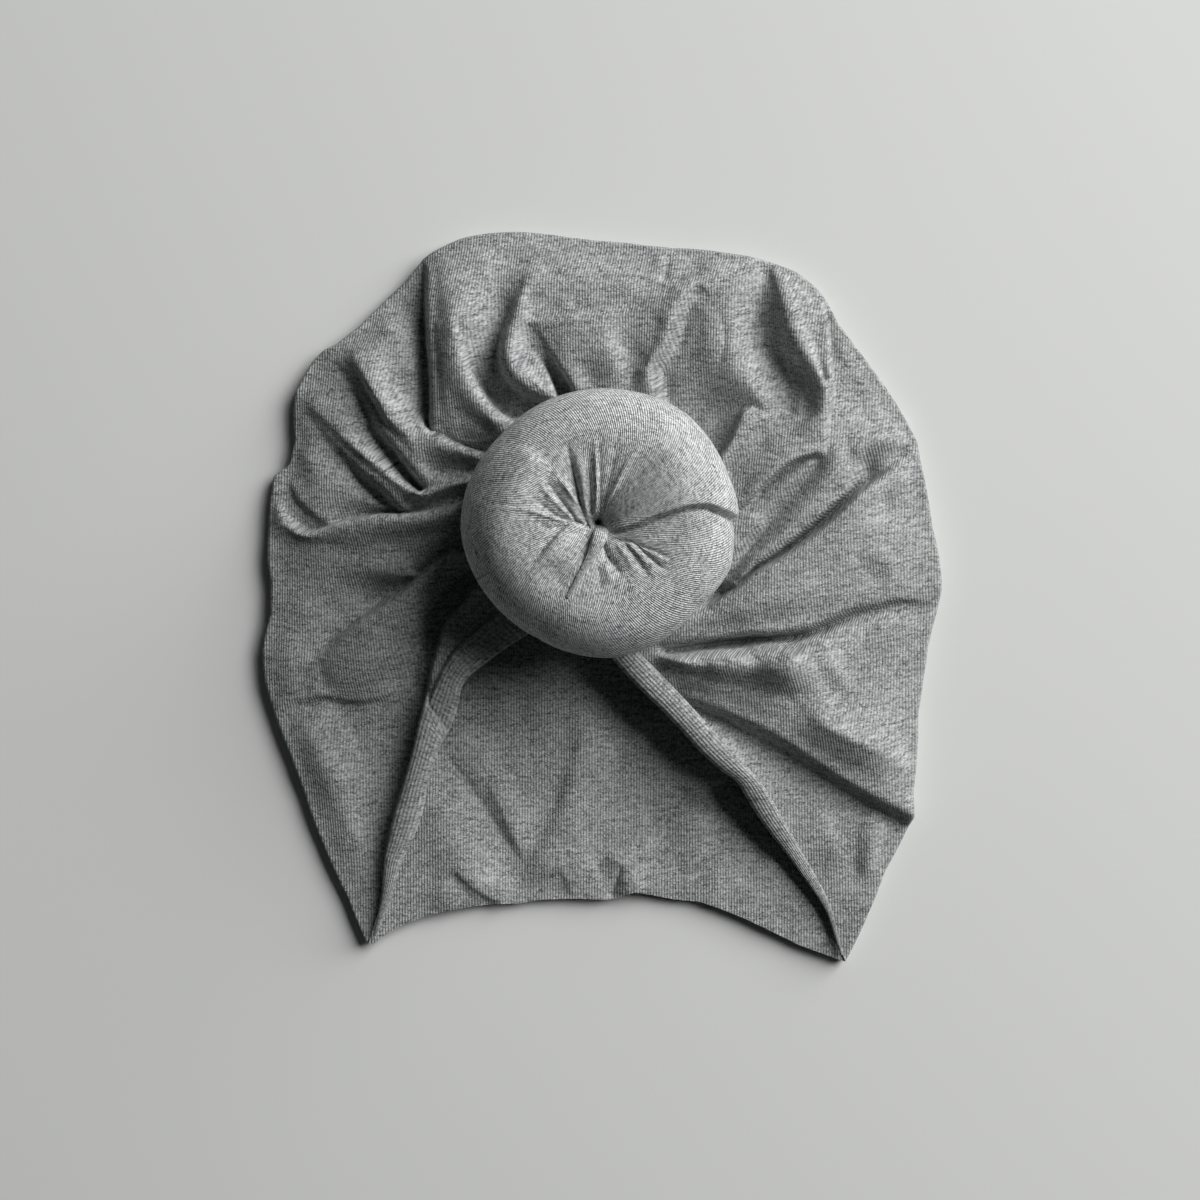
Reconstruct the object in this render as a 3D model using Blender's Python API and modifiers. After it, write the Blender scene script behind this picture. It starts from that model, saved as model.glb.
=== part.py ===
"""A turban headwrap of soft knitted cloth, lying on its back with its round bun on top.

Metres, +Z up, +Y towards the crown and +X to the right as seen from above. The
origin is on the surface that the wrap lies on, under the middle of its outline.
"""

import math
from collections import namedtuple

import bmesh
import bpy
from mathutils import Vector

MM = 0.001

# Cloth and clearances
CLOTH = 1.2 * MM
GAP = 0.3 * MM

# The stuffed bun: an oval section carried round a ring, with a tight hole
BUN_X = -1.4 * MM
BUN_Y = 18.6 * MM
BUN_RING_RADIUS = 18.0 * MM
BUN_HALF_WIDTH = 16.4 * MM
BUN_HALF_HEIGHT = 15.5 * MM
BUN_MIDDLE_Z = 26.9 * MM
BUN_SEGMENTS = 60
BUN_SECTION_SEGMENTS = 14

# The cap's cloth leaves the gather under the bun and shows from BUN_EDGE outwards
GATHER_RADIUS = 9.0 * MM
GATHER_LEVEL = 10.4 * MM
GATHER_ANGLES = (262.0, -97.0)
BUN_EDGE = 36.2 * MM

# How finely the cap is divided
DEGREES_PER_COLUMN = 6.5
LEAST_FOLD_DEGREES = 1.3
HIDDEN_ROWS = 3
FRONT_ROWS = 12
ROLL_ROWS = 4
BACK_ROWS = 5

# One row for each line that a fold of the front follows, from the left hem clockwise to the right hem.
# crease: 0 where the cloth rolls over the line, 1 where it is creased. reach: from the bun's centre to
# the outline, in mm. degrees and rise_mm: the line's direction from the bun's centre and its height above
# the surface, at the bun's edge, a quarter, a half and three quarters of the way out, and at the outline.
Fold = namedtuple("Fold", "name crease reach degrees rise_mm")
FOLDS = (
    Fold("left_hem_line", 0.0, 126.1, (229.5, 227.5, 234.3, 238.4, 241.2), (11.0, 10.0, 7.5, 5.0, 3.4)),
    Fold("left_hem_hollow", 1.0, 119.5, (222.5, 221.3, 229.2, 234.0, 237.5), (10.0, 9.4, 6.4, 4.6, 3.4)),
    Fold("left_cheek_crest", 0.6, 105.7, (207.5, 217.8, 222.5, 222.5, 224.0), (13.5, 13.0, 8.2, 7.4, 4.2)),
    Fold("left_cheek_hollow", 1.0, 98.3, (203.0, 211.5, 218.0, 213.8, 211.2), (8.8, 8.5, 6.8, 4.8, 3.4)),
    Fold("low_pleat_crest", 0.0, 97.0, (193.5, 199.5, 205.5, 209.0, 206.5), (13.0, 14.5, 13.5, 9.0, 4.8)),
    Fold("low_pleat_edge", 1.0, 95.0, (190.8, 197.3, 202.3, 206.0, 202.5), (12.5, 13.5, 12.0, 7.5, 4.6)),
    Fold("low_pleat_hollow", 0.6, 92.0, (189.0, 195.6, 199.8, 202.5, 198.5), (8.8, 8.4, 7.4, 5.6, 3.8)),
    Fold("side_swell", 0.0, 88.5, (186.5, 193.7, 194.5, 195.5, 191.0), (8.8, 8.6, 7.8, 7.2, 5.0)),
    Fold("side_pleat_foot", 0.5, 87.2, (184.0, 191.8, 188.0, 185.0, 184.0), (10.5, 10.5, 11.0, 9.0, 5.2)),
    Fold("side_pleat_crest", 0.9, 86.4, (171.3, 175.3, 177.6, 180.8, 176.5), (14.0, 15.0, 14.2, 11.5, 6.4)),
    Fold("side_pleat_hollow", 1.0, 83.5, (169.8, 173.7, 175.0, 178.0, 172.0), (9.5, 8.8, 7.4, 4.8, 3.2)),
    Fold("temple_swell", 0.0, 84.0, (168.6, 171.8, 172.2, 170.0, 166.5), (10.5, 9.5, 9.4, 10.0, 5.8)),
    Fold("temple_hollow", 1.0, 84.6, (167.2, 170.4, 168.4, 163.8, 160.5), (9.3, 9.0, 7.6, 5.0, 3.4)),
    Fold("temple_roll_crest", 0.2, 86.7, (160.3, 168.2, 163.8, 159.2, 156.0), (13.0, 14.5, 13.8, 11.5, 6.2)),
    Fold("temple_roll_hollow", 1.0, 86.4, (158.3, 165.8, 158.9, 152.4, 150.2), (9.6, 8.6, 7.4, 4.8, 3.4)),
    Fold("crown_side_edge", 0.7, 85.6, (156.6, 163.8, 156.4, 149.4, 147.0), (10.2, 11.5, 14.2, 12.5, 6.8)),
    Fold("crown_side_crest", 0.0, 83.5, (154.0, 157.5, 152.3, 145.5, 142.5), (11.5, 13.0, 15.0, 12.8, 5.4)),
    Fold("crown_tuck_crest", 0.6, 82.5, (148.8, 150.4, 146.4, 139.5, 136.0), (14.5, 15.0, 10.5, 8.5, 4.4)),
    Fold("great_pleat_hollow", 1.0, 83.2, (142.0, 147.4, 141.4, 131.8, 126.6), (8.9, 8.8, 7.4, 4.8, 3.2)),
    Fold("great_pleat_edge", 1.0, 84.3, (138.0, 143.2, 138.4, 129.0, 122.9), (9.4, 11.5, 13.6, 13.4, 9.4)),
    Fold("great_pleat_crest", 0.3, 84.6, (126.8, 131.0, 126.5, 122.4, 119.2), (14.5, 16.5, 16.4, 14.6, 8.4)),
    Fold("great_pleat_floor", 0.5, 82.7, (121.5, 126.0, 119.2, 114.8, 112.5), (8.8, 8.6, 9.0, 8.4, 5.2)),
    Fold("loop_crest", 0.2, 80.6, (113.7, 119.8, 113.5, 106.8, 105.0), (13.5, 16.0, 15.2, 11.0, 5.2)),
    Fold("loop_edge", 0.8, 79.6, (107.8, 110.2, 109.2, 103.3, 101.6), (14.0, 14.5, 12.4, 9.2, 4.8)),
    Fold("loop_hollow", 1.0, 78.5, (104.0, 106.4, 106.4, 101.0, 99.4), (8.6, 8.2, 10.2, 8.6, 4.6)),
    Fold("crown_flap_edge", 0.6, 77.7, (100.6, 104.0, 103.8, 98.6, 97.0), (12.0, 13.0, 12.8, 8.8, 4.6)),
    Fold("crown_swell", 0.0, 76.1, (91.0, 94.0, 94.0, 91.0, 90.0), (12.0, 12.0, 13.0, 8.4, 4.6)),
    Fold("crown_small_crest", 0.0, 75.6, (80.0, 86.2, 87.6, 85.0, 84.0), (12.5, 13.8, 12.6, 8.4, 4.6)),
    Fold("crown_small_hollow", 0.5, 76.1, (77.0, 81.0, 80.0, 78.0, 77.0), (11.0, 9.8, 11.2, 8.8, 4.6)),
    Fold("brow_crest", 0.9, 79.3, (65.6, 70.2, 69.4, 67.2, 64.0), (14.0, 15.5, 15.2, 12.8, 6.6)),
    Fold("brow_floor", 0.5, 81.4, (63.0, 67.0, 66.6, 63.8, 61.2), (9.2, 9.8, 10.0, 9.4, 5.6)),
    Fold("brow_crease", 0.5, 83.8, (55.0, 55.2, 58.6, 58.6, 57.8), (8.8, 9.0, 8.6, 7.6, 4.6)),
    Fold("brow_swell", 0.0, 84.3, (46.0, 48.0, 52.8, 56.0, 56.6), (9.0, 11.4, 9.8, 6.4, 4.2)),
    Fold("peak_crest", 0.8, 84.6, (30.8, 38.2, 43.0, 54.2, 56.0), (12.5, 13.6, 8.6, 5.4, 3.8)),
    Fold("hook_hollow", 0.4, 84.4, (27.6, 31.0, 34.5, 52.0, 55.2), (9.8, 9.8, 7.6, 5.0, 3.6)),
    Fold("hook_swell", 0.0, 85.6, (16.0, 22.0, 24.0, 41.5, 50.0), (12.0, 13.0, 12.4, 14.4, 8.8)),
    Fold("hook_edge", 0.9, 85.9, (7.6, 16.4, 18.8, 32.6, 45.6), (13.6, 15.0, 14.6, 14.2, 9.4)),
    Fold("hook_foot", 0.7, 84.6, (5.6, 14.8, 17.4, 30.2, 42.4), (9.0, 8.8, 8.6, 7.4, 4.4)),
    Fold("first_tuck_crest", 0.0, 83.0, (-3.0, 9.8, 15.9, 25.5, 34.0), (11.8, 12.2, 10.6, 8.2, 4.8)),
    Fold("first_tuck_hollow", 1.0, 84.6, (-19.5, 3.4, 13.6, 21.0, 27.0), (8.8, 8.5, 8.2, 7.8, 4.8)),
    Fold("second_tuck_crest", 0.0, 86.2, (-25.5, 0.2, 10.6, 17.2, 20.5), (13.0, 13.6, 13.2, 11.0, 5.8)),
    Fold("second_tuck_hollow", 1.0, 87.0, (-31.5, -2.6, 6.6, 10.9, 13.6), (8.6, 8.2, 7.2, 4.6, 3.2)),
    Fold("broad_pleat_edge", 0.8, 86.7, (-34.5, -5.8, 4.5, 8.8, 11.2), (14.5, 16.0, 15.2, 12.4, 6.4)),
    Fold("broad_pleat_swell", 0.0, 88.8, (-41.0, -18.5, -8.0, -2.5, 0.5), (15.0, 15.6, 14.4, 11.4, 5.8)),
    Fold("broad_pleat_lip", 0.9, 93.3, (-46.5, -31.4, -21.5, -15.0, -12.0), (14.0, 14.2, 12.0, 9.4, 5.2)),
    Fold("broad_pleat_hollow", 1.0, 92.8, (-51.5, -34.6, -25.3, -17.0, -13.9), (8.6, 8.2, 7.2, 4.8, 3.2)),
    Fold("ear_pleat_shoulder", 0.0, 93.6, (-56.0, -41.5, -32.0, -24.5, -22.0), (13.0, 14.0, 12.0, 9.0, 5.2)),
    Fold("ear_pleat_swell", 0.0, 100.9, (-61.5, -52.0, -42.0, -36.0, -33.0), (14.0, 14.6, 13.4, 10.4, 5.4)),
    Fold("ear_pleat_edge", 1.0, 113.1, (-65.3, -57.8, -49.8, -46.5, -42.4), (13.5, 14.0, 13.4, 12.0, 8.4)),
    Fold("ear_pleat_hollow", 0.8, 114.2, (-67.6, -59.8, -51.8, -48.4, -44.0), (9.6, 8.6, 6.8, 4.6, 3.4)),
    Fold("right_jaw_swell", 0.0, 120.0, (-70.0, -61.2, -55.3, -53.2, -51.5), (10.0, 9.2, 8.0, 6.8, 4.2)),
    Fold("right_hem_line", 0.0, 132.2, (-76.0, -62.9, -58.9, -58.8, -60.2), (11.0, 10.4, 8.4, 5.4, 3.4)),
)

# The nape edge of the back, from the left corner to the right one, in mm
NAPE_EDGE = ((-54.0, -87.0), (-27.0, -80.4), (4.0, -78.8), (28.0, -81.0), (56.0, -93.2))

# The turned hems: how far along, width and thickness in mm
Band = namedtuple("Band", "along width thick")
LEFT_HEM = (
    Band(-0.12, 7.6, 3.6),
    Band(0.0, 8.6, 4.0),
    Band(0.25, 10.4, 4.4),
    Band(0.5, 7.4, 3.8),
    Band(0.75, 5.8, 3.0),
    Band(0.97, 1.8, 1.8),
)
RIGHT_HEM = (
    Band(-0.12, 8.4, 3.8),
    Band(0.0, 9.2, 4.2),
    Band(0.25, 6.8, 4.2),
    Band(0.5, 6.2, 3.8),
    Band(0.75, 5.8, 3.0),
    Band(0.97, 1.8, 1.8),
)
HEM_STEPS = 16
HEM_SIDES = 8
HEM_LOOK_AHEAD = 0.02

# The creases that run from the bun's hole over its top: direction, half width, depth, length
Tuck = namedtuple("Tuck", "degrees half_width depth_mm reach_mm")
TUCKS = (
    Tuck(106.0, 9.0, 2.6, 24.0),
    Tuck(128.0, 8.0, 1.8, 20.0),
    Tuck(150.0, 8.0, 1.5, 19.0),
    Tuck(172.0, 8.0, 1.2, 20.0),
    Tuck(218.0, 10.0, 2.0, 20.0),
    Tuck(255.0, 8.0, 1.4, 18.0),
    Tuck(286.0, 8.0, 1.6, 17.0),
    Tuck(318.0, 9.0, 1.8, 20.0),
    Tuck(344.0, 9.0, 1.4, 24.0),
    Tuck(46.0, 9.0, 1.6, 24.0),
    Tuck(66.0, 7.0, 1.5, 22.0),
    Tuck(84.0, 7.0, 1.6, 24.0),
)

# The end of the bun's winding, lapped over the ring and let into it towards its far side
LAP_FROM = 4.0
LAP_TO = 45.0
LAP_LET_IN = 1.4 * MM
LAP_COLUMNS = 7
LAP_STEPS = 16
LAP_SECTION_FROM = 148.0
LAP_SECTION_TO = -28.0

# The small twisted tuck that lies in the bun's hollow
CENTRE_TUCK_DEGREES = 239.0
CENTRE_TUCK_FROM = 2.2 * MM
CENTRE_TUCK_TO = 17.5 * MM
CENTRE_TUCK_WIDTH = 4.6 * MM
CENTRE_TUCK_HEIGHT = 3.0 * MM
CENTRE_TUCK_CLEARANCE = 0.6 * MM
CENTRE_TUCK_STEPS = 8
CENTRE_TUCK_SIDES = 8
CENTRE_TUCK_TIP = 0.28

# The bunched cloth that joins the cap to the bun: radius and height of its profile, top to bottom
STEM_PROFILE = ((0.0, 31.0), (0.8, 30.6), (1.1, 26.9), (2.3, 21.4), (4.8, 17.0), (7.9, 14.0), (7.9, 8.6), (0.0, 8.2))
STEM_STEPS = 16

GREY_CLOTH = (0.36, 0.375, 0.38, 1.0)
CLOTH_ROUGHNESS = 0.92

UP = Vector((0.0, 0.0, 1.0))


def catmull(values, t):
    """A smooth value at t, from 0 to 1, through evenly spaced values."""
    place = min(max(t, 0.0), 1.0) * (len(values) - 1)
    i = min(int(place), len(values) - 2)
    f = place - i
    b, c = values[i], values[i + 1]
    a = values[i - 1] if i > 0 else 2 * b - c
    d = values[i + 2] if i + 2 < len(values) else 2 * c - b
    return b + 0.5 * f * (c - a + f * (2 * a - 5 * b + 4 * c - d + f * (3 * (b - c) + d - a)))


def blend(a, b, t):
    return a + (b - a) * t


def hermite(start, end, start_crease, end_crease, t):
    """A height between two fold lines: level at a rolled line, straight into a creased one."""
    span = end - start
    rise = 3 * t * t - 2 * t**3
    leave = t * (1 - t) ** 2
    arrive = t * t * (t - 1)
    return start + span * (rise + leave * start_crease + arrive * end_crease)


def columns():
    """(index of the fold line before it, share of the way to the next) for each column of the cap."""
    found = []
    for i in range(len(FOLDS) - 1):
        here, after = FOLDS[i].degrees, FOLDS[i + 1].degrees
        spread = max(a - b for a, b in zip(here[1:], after[1:]))
        parts = max(1, round(spread / DEGREES_PER_COLUMN))
        found += [(i, j / parts) for j in range(parts)]
    return found + [(len(FOLDS) - 2, 1.0)]


def fold_degrees(v):
    """Each fold line's direction at v, kept in order round the bun."""
    found = []
    for fold in FOLDS:
        angle = catmull(fold.degrees, v)
        if found:
            angle = min(angle, found[-1] - LEAST_FOLD_DEGREES)
        found.append(angle)
    return found


def polar(degrees, radius, z):
    """A point at that direction and distance from the bun's centre."""
    angle = math.radians(degrees)
    return Vector((BUN_X + radius * math.cos(angle), BUN_Y + radius * math.sin(angle), z))


def front_row(column_list, v):
    """Points of the cap's front at v, from 0 at the bun's edge to 1 at the outline."""
    degrees = fold_degrees(v)
    points = []
    for i, w in column_list:
        here, after = FOLDS[i], FOLDS[i + 1]
        rim = blend(here.rise_mm[-1], after.rise_mm[-1], w) * MM / 2
        reach = blend(here.reach, after.reach, w) * MM - rim
        rises = (catmull(here.rise_mm, v), catmull(after.rise_mm, v))
        z = hermite(*rises, here.crease, after.crease, w) * MM
        points.append(polar(blend(degrees[i], degrees[i + 1], w), blend(BUN_EDGE, reach, v), z))
    return points


def hidden_row(column_list, t):
    """Points of the cap under the bun, from 0 at the gather to 1 at the bun's edge."""
    edge_points = front_row(column_list, 0.0)
    degrees = fold_degrees(0.0)
    first, last = degrees[0], degrees[-1]
    points = []
    for (i, w), edge in zip(column_list, edge_points):
        shown = blend(degrees[i], degrees[i + 1], w)
        share = (first - shown) / (first - last)
        gathered = blend(*GATHER_ANGLES, share)
        z = GATHER_LEVEL + (edge.z - GATHER_LEVEL) * t**3
        points.append(polar(blend(gathered, shown, t), blend(GATHER_RADIUS, BUN_EDGE, t), z))
    return points


def roll_row(column_list, turn):
    """Points of the rolled outline, from 0 where the front ends to 1 where the back starts."""
    points = []
    for i, w in column_list:
        here, after = FOLDS[i], FOLDS[i + 1]
        rim = hermite(here.rise_mm[-1], after.rise_mm[-1], here.crease, after.crease, w) * MM / 2
        flat = blend(here.rise_mm[-1], after.rise_mm[-1], w) * MM / 2
        reach = blend(here.reach, after.reach, w) * MM - flat
        degrees = blend(here.degrees[-1], after.degrees[-1], w)
        angle = math.pi * turn
        points.append(polar(degrees, reach + flat * math.sin(angle), rim * (1 + math.cos(angle))))
    return points


def back_row(rim, t):
    """Points of the back, from 0 at the rolled outline to 1 at the nape edge."""
    lengths = [0.0]
    for before, here in zip(rim, rim[1:]):
        lengths.append(lengths[-1] + (here - before).length)
    points = []
    for point, length in zip(rim, lengths):
        share = length / lengths[-1]
        nape_x = catmull([p[0] for p in NAPE_EDGE], share) * MM
        nape_y = catmull([p[1] for p in NAPE_EDGE], share) * MM
        points.append(point.lerp(Vector((nape_x, nape_y, 0.0)), t))
    return points


def mesh_object(name, points, faces):
    """A named object with its own material, from points and faces."""
    mesh = bpy.data.meshes.new(name)
    mesh.from_pydata(points, [], faces)
    mesh.validate()
    piece = bpy.data.objects.new(name, mesh)
    collection.objects.link(piece)
    return finish(piece)


def finish(piece):
    """Gives a piece its cloth and smooth shading."""
    material = bpy.data.materials.new(piece.name + "_cloth")
    material.use_nodes = True
    shader = material.node_tree.nodes["Principled BSDF"]
    shader.inputs["Base Color"].default_value = GREY_CLOTH
    shader.inputs["Roughness"].default_value = CLOTH_ROUGHNESS
    shader.inputs["Metallic"].default_value = 0.0
    piece.data.materials.clear()
    piece.data.materials.append(material)
    piece.data.shade_smooth()
    return piece


def sheet(name, rows):
    """A skin through rows of points, given the cloth's thickness on its inner side."""
    width = len(rows[0])
    points = [p for row in rows for p in row]
    faces = []
    for r in range(len(rows) - 1):
        for c in range(width - 1):
            a = r * width + c
            faces.append((a, a + 1, a + width + 1, a + width))
    piece = mesh_object(name, points, faces)
    solidify = piece.modifiers.new("Cloth thickness", "SOLIDIFY")
    solidify.thickness = CLOTH
    solidify.offset = -1.0
    return piece


def loft(name, rings):
    """A closed solid through rings of the same number of points."""
    sides = len(rings[0])
    points = [p for ring in rings for p in ring]
    faces = []
    for r in range(len(rings) - 1):
        for s in range(sides):
            a, b = r * sides + s, r * sides + (s + 1) % sides
            faces.append((a, b, b + sides, a + sides))
    faces.append(tuple(reversed(range(sides))))
    faces.append(tuple(range(len(points) - sides, len(points))))
    piece = mesh_object(name, points, faces)
    shape = bmesh.new()
    shape.from_mesh(piece.data)
    bmesh.ops.recalc_face_normals(shape, faces=shape.faces)
    shape.to_mesh(piece.data)
    shape.free()
    return piece


def oval(centre, across, up, sides):
    """A ring of points round the centre."""
    turns = [2 * math.pi * s / sides for s in range(sides)]
    return [centre + across * math.cos(turn) + up * math.sin(turn) for turn in turns]


def make_cap():
    """The cap: front, rolled outline and back in one sheet of cloth, open along the hems and the nape."""
    cols = columns()
    rows = [hidden_row(cols, i / HIDDEN_ROWS) for i in range(HIDDEN_ROWS)]
    rows += [front_row(cols, i / FRONT_ROWS) for i in range(FRONT_ROWS)]
    rows += [roll_row(cols, i / ROLL_ROWS) for i in range(ROLL_ROWS + 1)]
    rim = rows[-1]
    rows += [back_row(rim, (i + 1) / BACK_ROWS) for i in range(BACK_ROWS)]
    return sheet("cap_shell", rows)


def section_point(section_degrees, extra=0.0):
    """Distance from the bun's axis and height of the point at that angle round the bun's section."""
    angle = math.radians(section_degrees)
    radius = BUN_RING_RADIUS + (BUN_HALF_WIDTH + extra) * math.cos(angle)
    return radius, BUN_MIDDLE_Z + (BUN_HALF_HEIGHT + extra) * math.sin(angle)


def degrees_between(a, b):
    return abs((a - b + 180.0) % 360.0 - 180.0)


def tuck_depth(degrees, radius):
    """How far the bun's creases pull its top in at that direction and distance."""
    depth = 0.0
    for tuck in TUCKS:
        across = degrees_between(degrees, tuck.degrees) / tuck.half_width
        along = radius / (tuck.reach_mm * MM)
        if across < 1.0 and along < 1.0:
            depth = max(depth, tuck.depth_mm * MM * (1 - across) ** 2 * math.sin(math.pi * along**0.6))
    return depth


def let_in(degrees):
    """How far the ring is pressed in below the lap at that direction: nothing at its near edge."""
    share = (degrees - LAP_FROM) / (LAP_TO - LAP_FROM)
    if share < 0.0 or share > 1.0:
        return 0.0
    return LAP_LET_IN * share


def make_bun():
    """The stuffed ring, with creases drawn in to its hole."""
    bpy.ops.mesh.primitive_torus_add(
        major_radius=BUN_RING_RADIUS,
        minor_radius=BUN_HALF_WIDTH,
        major_segments=BUN_SEGMENTS,
        minor_segments=BUN_SECTION_SEGMENTS,
        location=(BUN_X, BUN_Y, BUN_MIDDLE_Z),
    )
    bun = bpy.context.object
    bun.name = "bun_ring"
    bun.data.name = "bun_ring"
    for other in list(bun.users_collection):
        other.objects.unlink(bun)
    collection.objects.link(bun)
    for vertex in bun.data.vertices:
        x, y, z = vertex.co
        direction = math.degrees(math.atan2(y, x))
        out = Vector((x, y, 0.0))
        middle = out.normalized() * BUN_RING_RADIUS
        section = out - middle
        section.z = z
        section *= 1 - let_in(direction) / BUN_HALF_WIDTH
        vertex.co = middle + section
        vertex.co.z *= BUN_HALF_HEIGHT / BUN_HALF_WIDTH
        if z > 0:
            vertex.co.z -= tuck_depth(direction, math.hypot(x, y))
    return finish(bun)


def make_lap():
    """The end of the winding: a curved strip that lies over the ring from its hole to its outer side."""
    rows = []
    for i in range(LAP_STEPS + 1):
        share = i / LAP_STEPS
        section = blend(LAP_SECTION_FROM, LAP_SECTION_TO, share)
        row = []
        for c in range(LAP_COLUMNS + 1):
            degrees = blend(LAP_FROM, LAP_TO, c / LAP_COLUMNS)
            radius, z = section_point(section, GAP + CLOTH - let_in(degrees))
            row.append(polar(degrees, radius, z))
        rows.append(row)
    return sheet("bun_lap", rows)


def hem_place(line, v, lift):
    """A point over the cap's own edge, by the fold line at that end of the table."""
    fold = FOLDS[line]
    rim = fold.rise_mm[-1] * MM / 2
    if v < 0:
        share = 1 + v * BUN_EDGE / (BUN_EDGE - GATHER_RADIUS)
        degrees = blend(GATHER_ANGLES[line], fold.degrees[0], share)
        z = GATHER_LEVEL + (fold.rise_mm[0] * MM - GATHER_LEVEL) * share**3
        return polar(degrees, blend(GATHER_RADIUS, BUN_EDGE, share), z + lift)
    reach = fold.reach * MM - rim
    return polar(catmull(fold.degrees, v), blend(BUN_EDGE, reach, v), catmull(fold.rise_mm, v) * MM + lift)


def band_size(bands, v):
    """Width and thickness of a hem at v."""
    for before, after in zip(bands, bands[1:]):
        if v <= after.along:
            t = (v - before.along) / (after.along - before.along)
            t = t * t * (3 - 2 * t)
            return blend(before.width, after.width, t) * MM, blend(before.thick, after.thick, t) * MM
    return bands[-1].width * MM, bands[-1].thick * MM


def make_hem(name, line, bands):
    """A turned hem: a flattened roll that lies along the cap's edge, from under the bun to the corner."""
    rings = []
    for i in range(HEM_STEPS + 1):
        v = blend(bands[0].along, bands[-1].along, i / HEM_STEPS)
        width, thick = band_size(bands, v)
        centre = hem_place(line, v, thick / 2 + GAP)
        ahead = hem_place(line, min(v + HEM_LOOK_AHEAD, 1.0), thick / 2 + GAP)
        run = (ahead - centre).normalized()
        side = run.cross(UP).normalized()
        rings.append(oval(centre, side * width / 2, side.cross(run) * thick / 2, HEM_SIDES))
    return loft(name, rings)


def make_centre_tuck():
    """The small twisted tuck on the slope of the bun's hollow."""
    direction = math.radians(CENTRE_TUCK_DEGREES)
    side = Vector((-math.sin(direction), math.cos(direction), 0.0))
    rings = []
    for i in range(CENTRE_TUCK_STEPS + 1):
        share = i / CENTRE_TUCK_STEPS
        radius = blend(CENTRE_TUCK_FROM, CENTRE_TUCK_TO, share)
        inside = (radius - BUN_RING_RADIUS) / (BUN_HALF_WIDTH + GAP)
        surface = BUN_MIDDLE_Z + (BUN_HALF_HEIGHT + GAP) * math.sqrt(1 - inside * inside)
        swell = blend(CENTRE_TUCK_TIP, 1.0, math.sin(math.pi * share))
        half = CENTRE_TUCK_HEIGHT * swell / 2
        centre = polar(CENTRE_TUCK_DEGREES, radius, surface + half + CENTRE_TUCK_CLEARANCE)
        rings.append(oval(centre, side * CENTRE_TUCK_WIDTH / 2 * swell, UP * half, CENTRE_TUCK_SIDES))
    return loft("centre_tuck", rings)


def make_stem():
    """The bunched cloth: a turned profile from the cap's gather up through the bun's hole."""
    mesh = bpy.data.meshes.new("gather_stem")
    points = [(r * MM, 0.0, z * MM) for r, z in STEM_PROFILE]
    mesh.from_pydata(points, [(i, i + 1) for i in range(len(points) - 1)], [])
    stem = bpy.data.objects.new("gather_stem", mesh)
    stem.location = (BUN_X, BUN_Y, 0.0)
    collection.objects.link(stem)
    screw = stem.modifiers.new("Turn", "SCREW")
    screw.steps = screw.render_steps = STEM_STEPS
    screw.use_merge_vertices = True
    screw.merge_threshold = 0.00005
    return finish(stem)


def stand_on_origin(pieces):
    """Moves every piece so that the origin is under the middle of the outline."""
    bpy.context.view_layer.update()
    graph = bpy.context.evaluated_depsgraph_get()
    corners = []
    for piece in pieces:
        shown = piece.evaluated_get(graph)
        corners += [shown.matrix_world @ Vector(c) for c in shown.bound_box]
    low = Vector([min(c[k] for c in corners) for k in range(3)])
    high = Vector([max(c[k] for c in corners) for k in range(3)])
    shift = Vector(((low.x + high.x) / 2, (low.y + high.y) / 2, low.z))
    for piece in pieces:
        piece.location -= shift


for old in list(bpy.data.objects):
    bpy.data.objects.remove(old)
collection = bpy.data.collections.new("turban_headwrap")
bpy.context.scene.collection.children.link(collection)

stand_on_origin(
    [
        make_cap(),
        make_hem("hem_left", 0, LEFT_HEM),
        make_hem("hem_right", -1, RIGHT_HEM),
        make_stem(),
        make_bun(),
        make_lap(),
        make_centre_tuck(),
    ]
)
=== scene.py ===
"""The looks of the turban headwrap: grey marl jersey, pleated to a stuffed knot, on a pale surface."""

import math
from collections import namedtuple

import bpy
import numpy as np
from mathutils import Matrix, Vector


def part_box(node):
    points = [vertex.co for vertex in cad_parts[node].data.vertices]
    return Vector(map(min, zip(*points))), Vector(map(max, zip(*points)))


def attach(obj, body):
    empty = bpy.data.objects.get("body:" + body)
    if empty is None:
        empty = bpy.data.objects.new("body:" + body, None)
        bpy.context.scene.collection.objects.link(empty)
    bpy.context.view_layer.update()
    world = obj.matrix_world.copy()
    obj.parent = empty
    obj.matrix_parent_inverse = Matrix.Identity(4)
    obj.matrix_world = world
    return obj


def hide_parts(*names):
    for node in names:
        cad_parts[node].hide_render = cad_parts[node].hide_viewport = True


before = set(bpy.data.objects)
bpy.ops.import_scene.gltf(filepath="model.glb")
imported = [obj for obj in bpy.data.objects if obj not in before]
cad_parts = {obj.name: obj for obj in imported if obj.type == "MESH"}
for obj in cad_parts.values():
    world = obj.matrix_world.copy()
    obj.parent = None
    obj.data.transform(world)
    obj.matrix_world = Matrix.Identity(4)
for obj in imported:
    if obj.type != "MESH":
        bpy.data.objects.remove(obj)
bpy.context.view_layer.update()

MM = 0.001

# Places taken from the bun ring in model.glb
BUN_LOW, BUN_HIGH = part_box("bun_ring")
BUN_X = (BUN_LOW.x + BUN_HIGH.x) / 2
BUN_Y = (BUN_LOW.y + BUN_HIGH.y) / 2

# The camera looks straight down from CAMERA_HEIGHT
CAMERA_HEIGHT = 0.55
CAMERA_X = BUN_X + 0.5 * MM
CAMERA_Y = BUN_Y - 19.4 * MM
CAMERA_VIEW_DEGREES = 32.43

# The middle of the bun and of the photograph, in pixels of the 1200 by 1200 picture
BUN_PIXEL = (597.0, 527.0)
PICTURE_MIDDLE = 600.0

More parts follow.
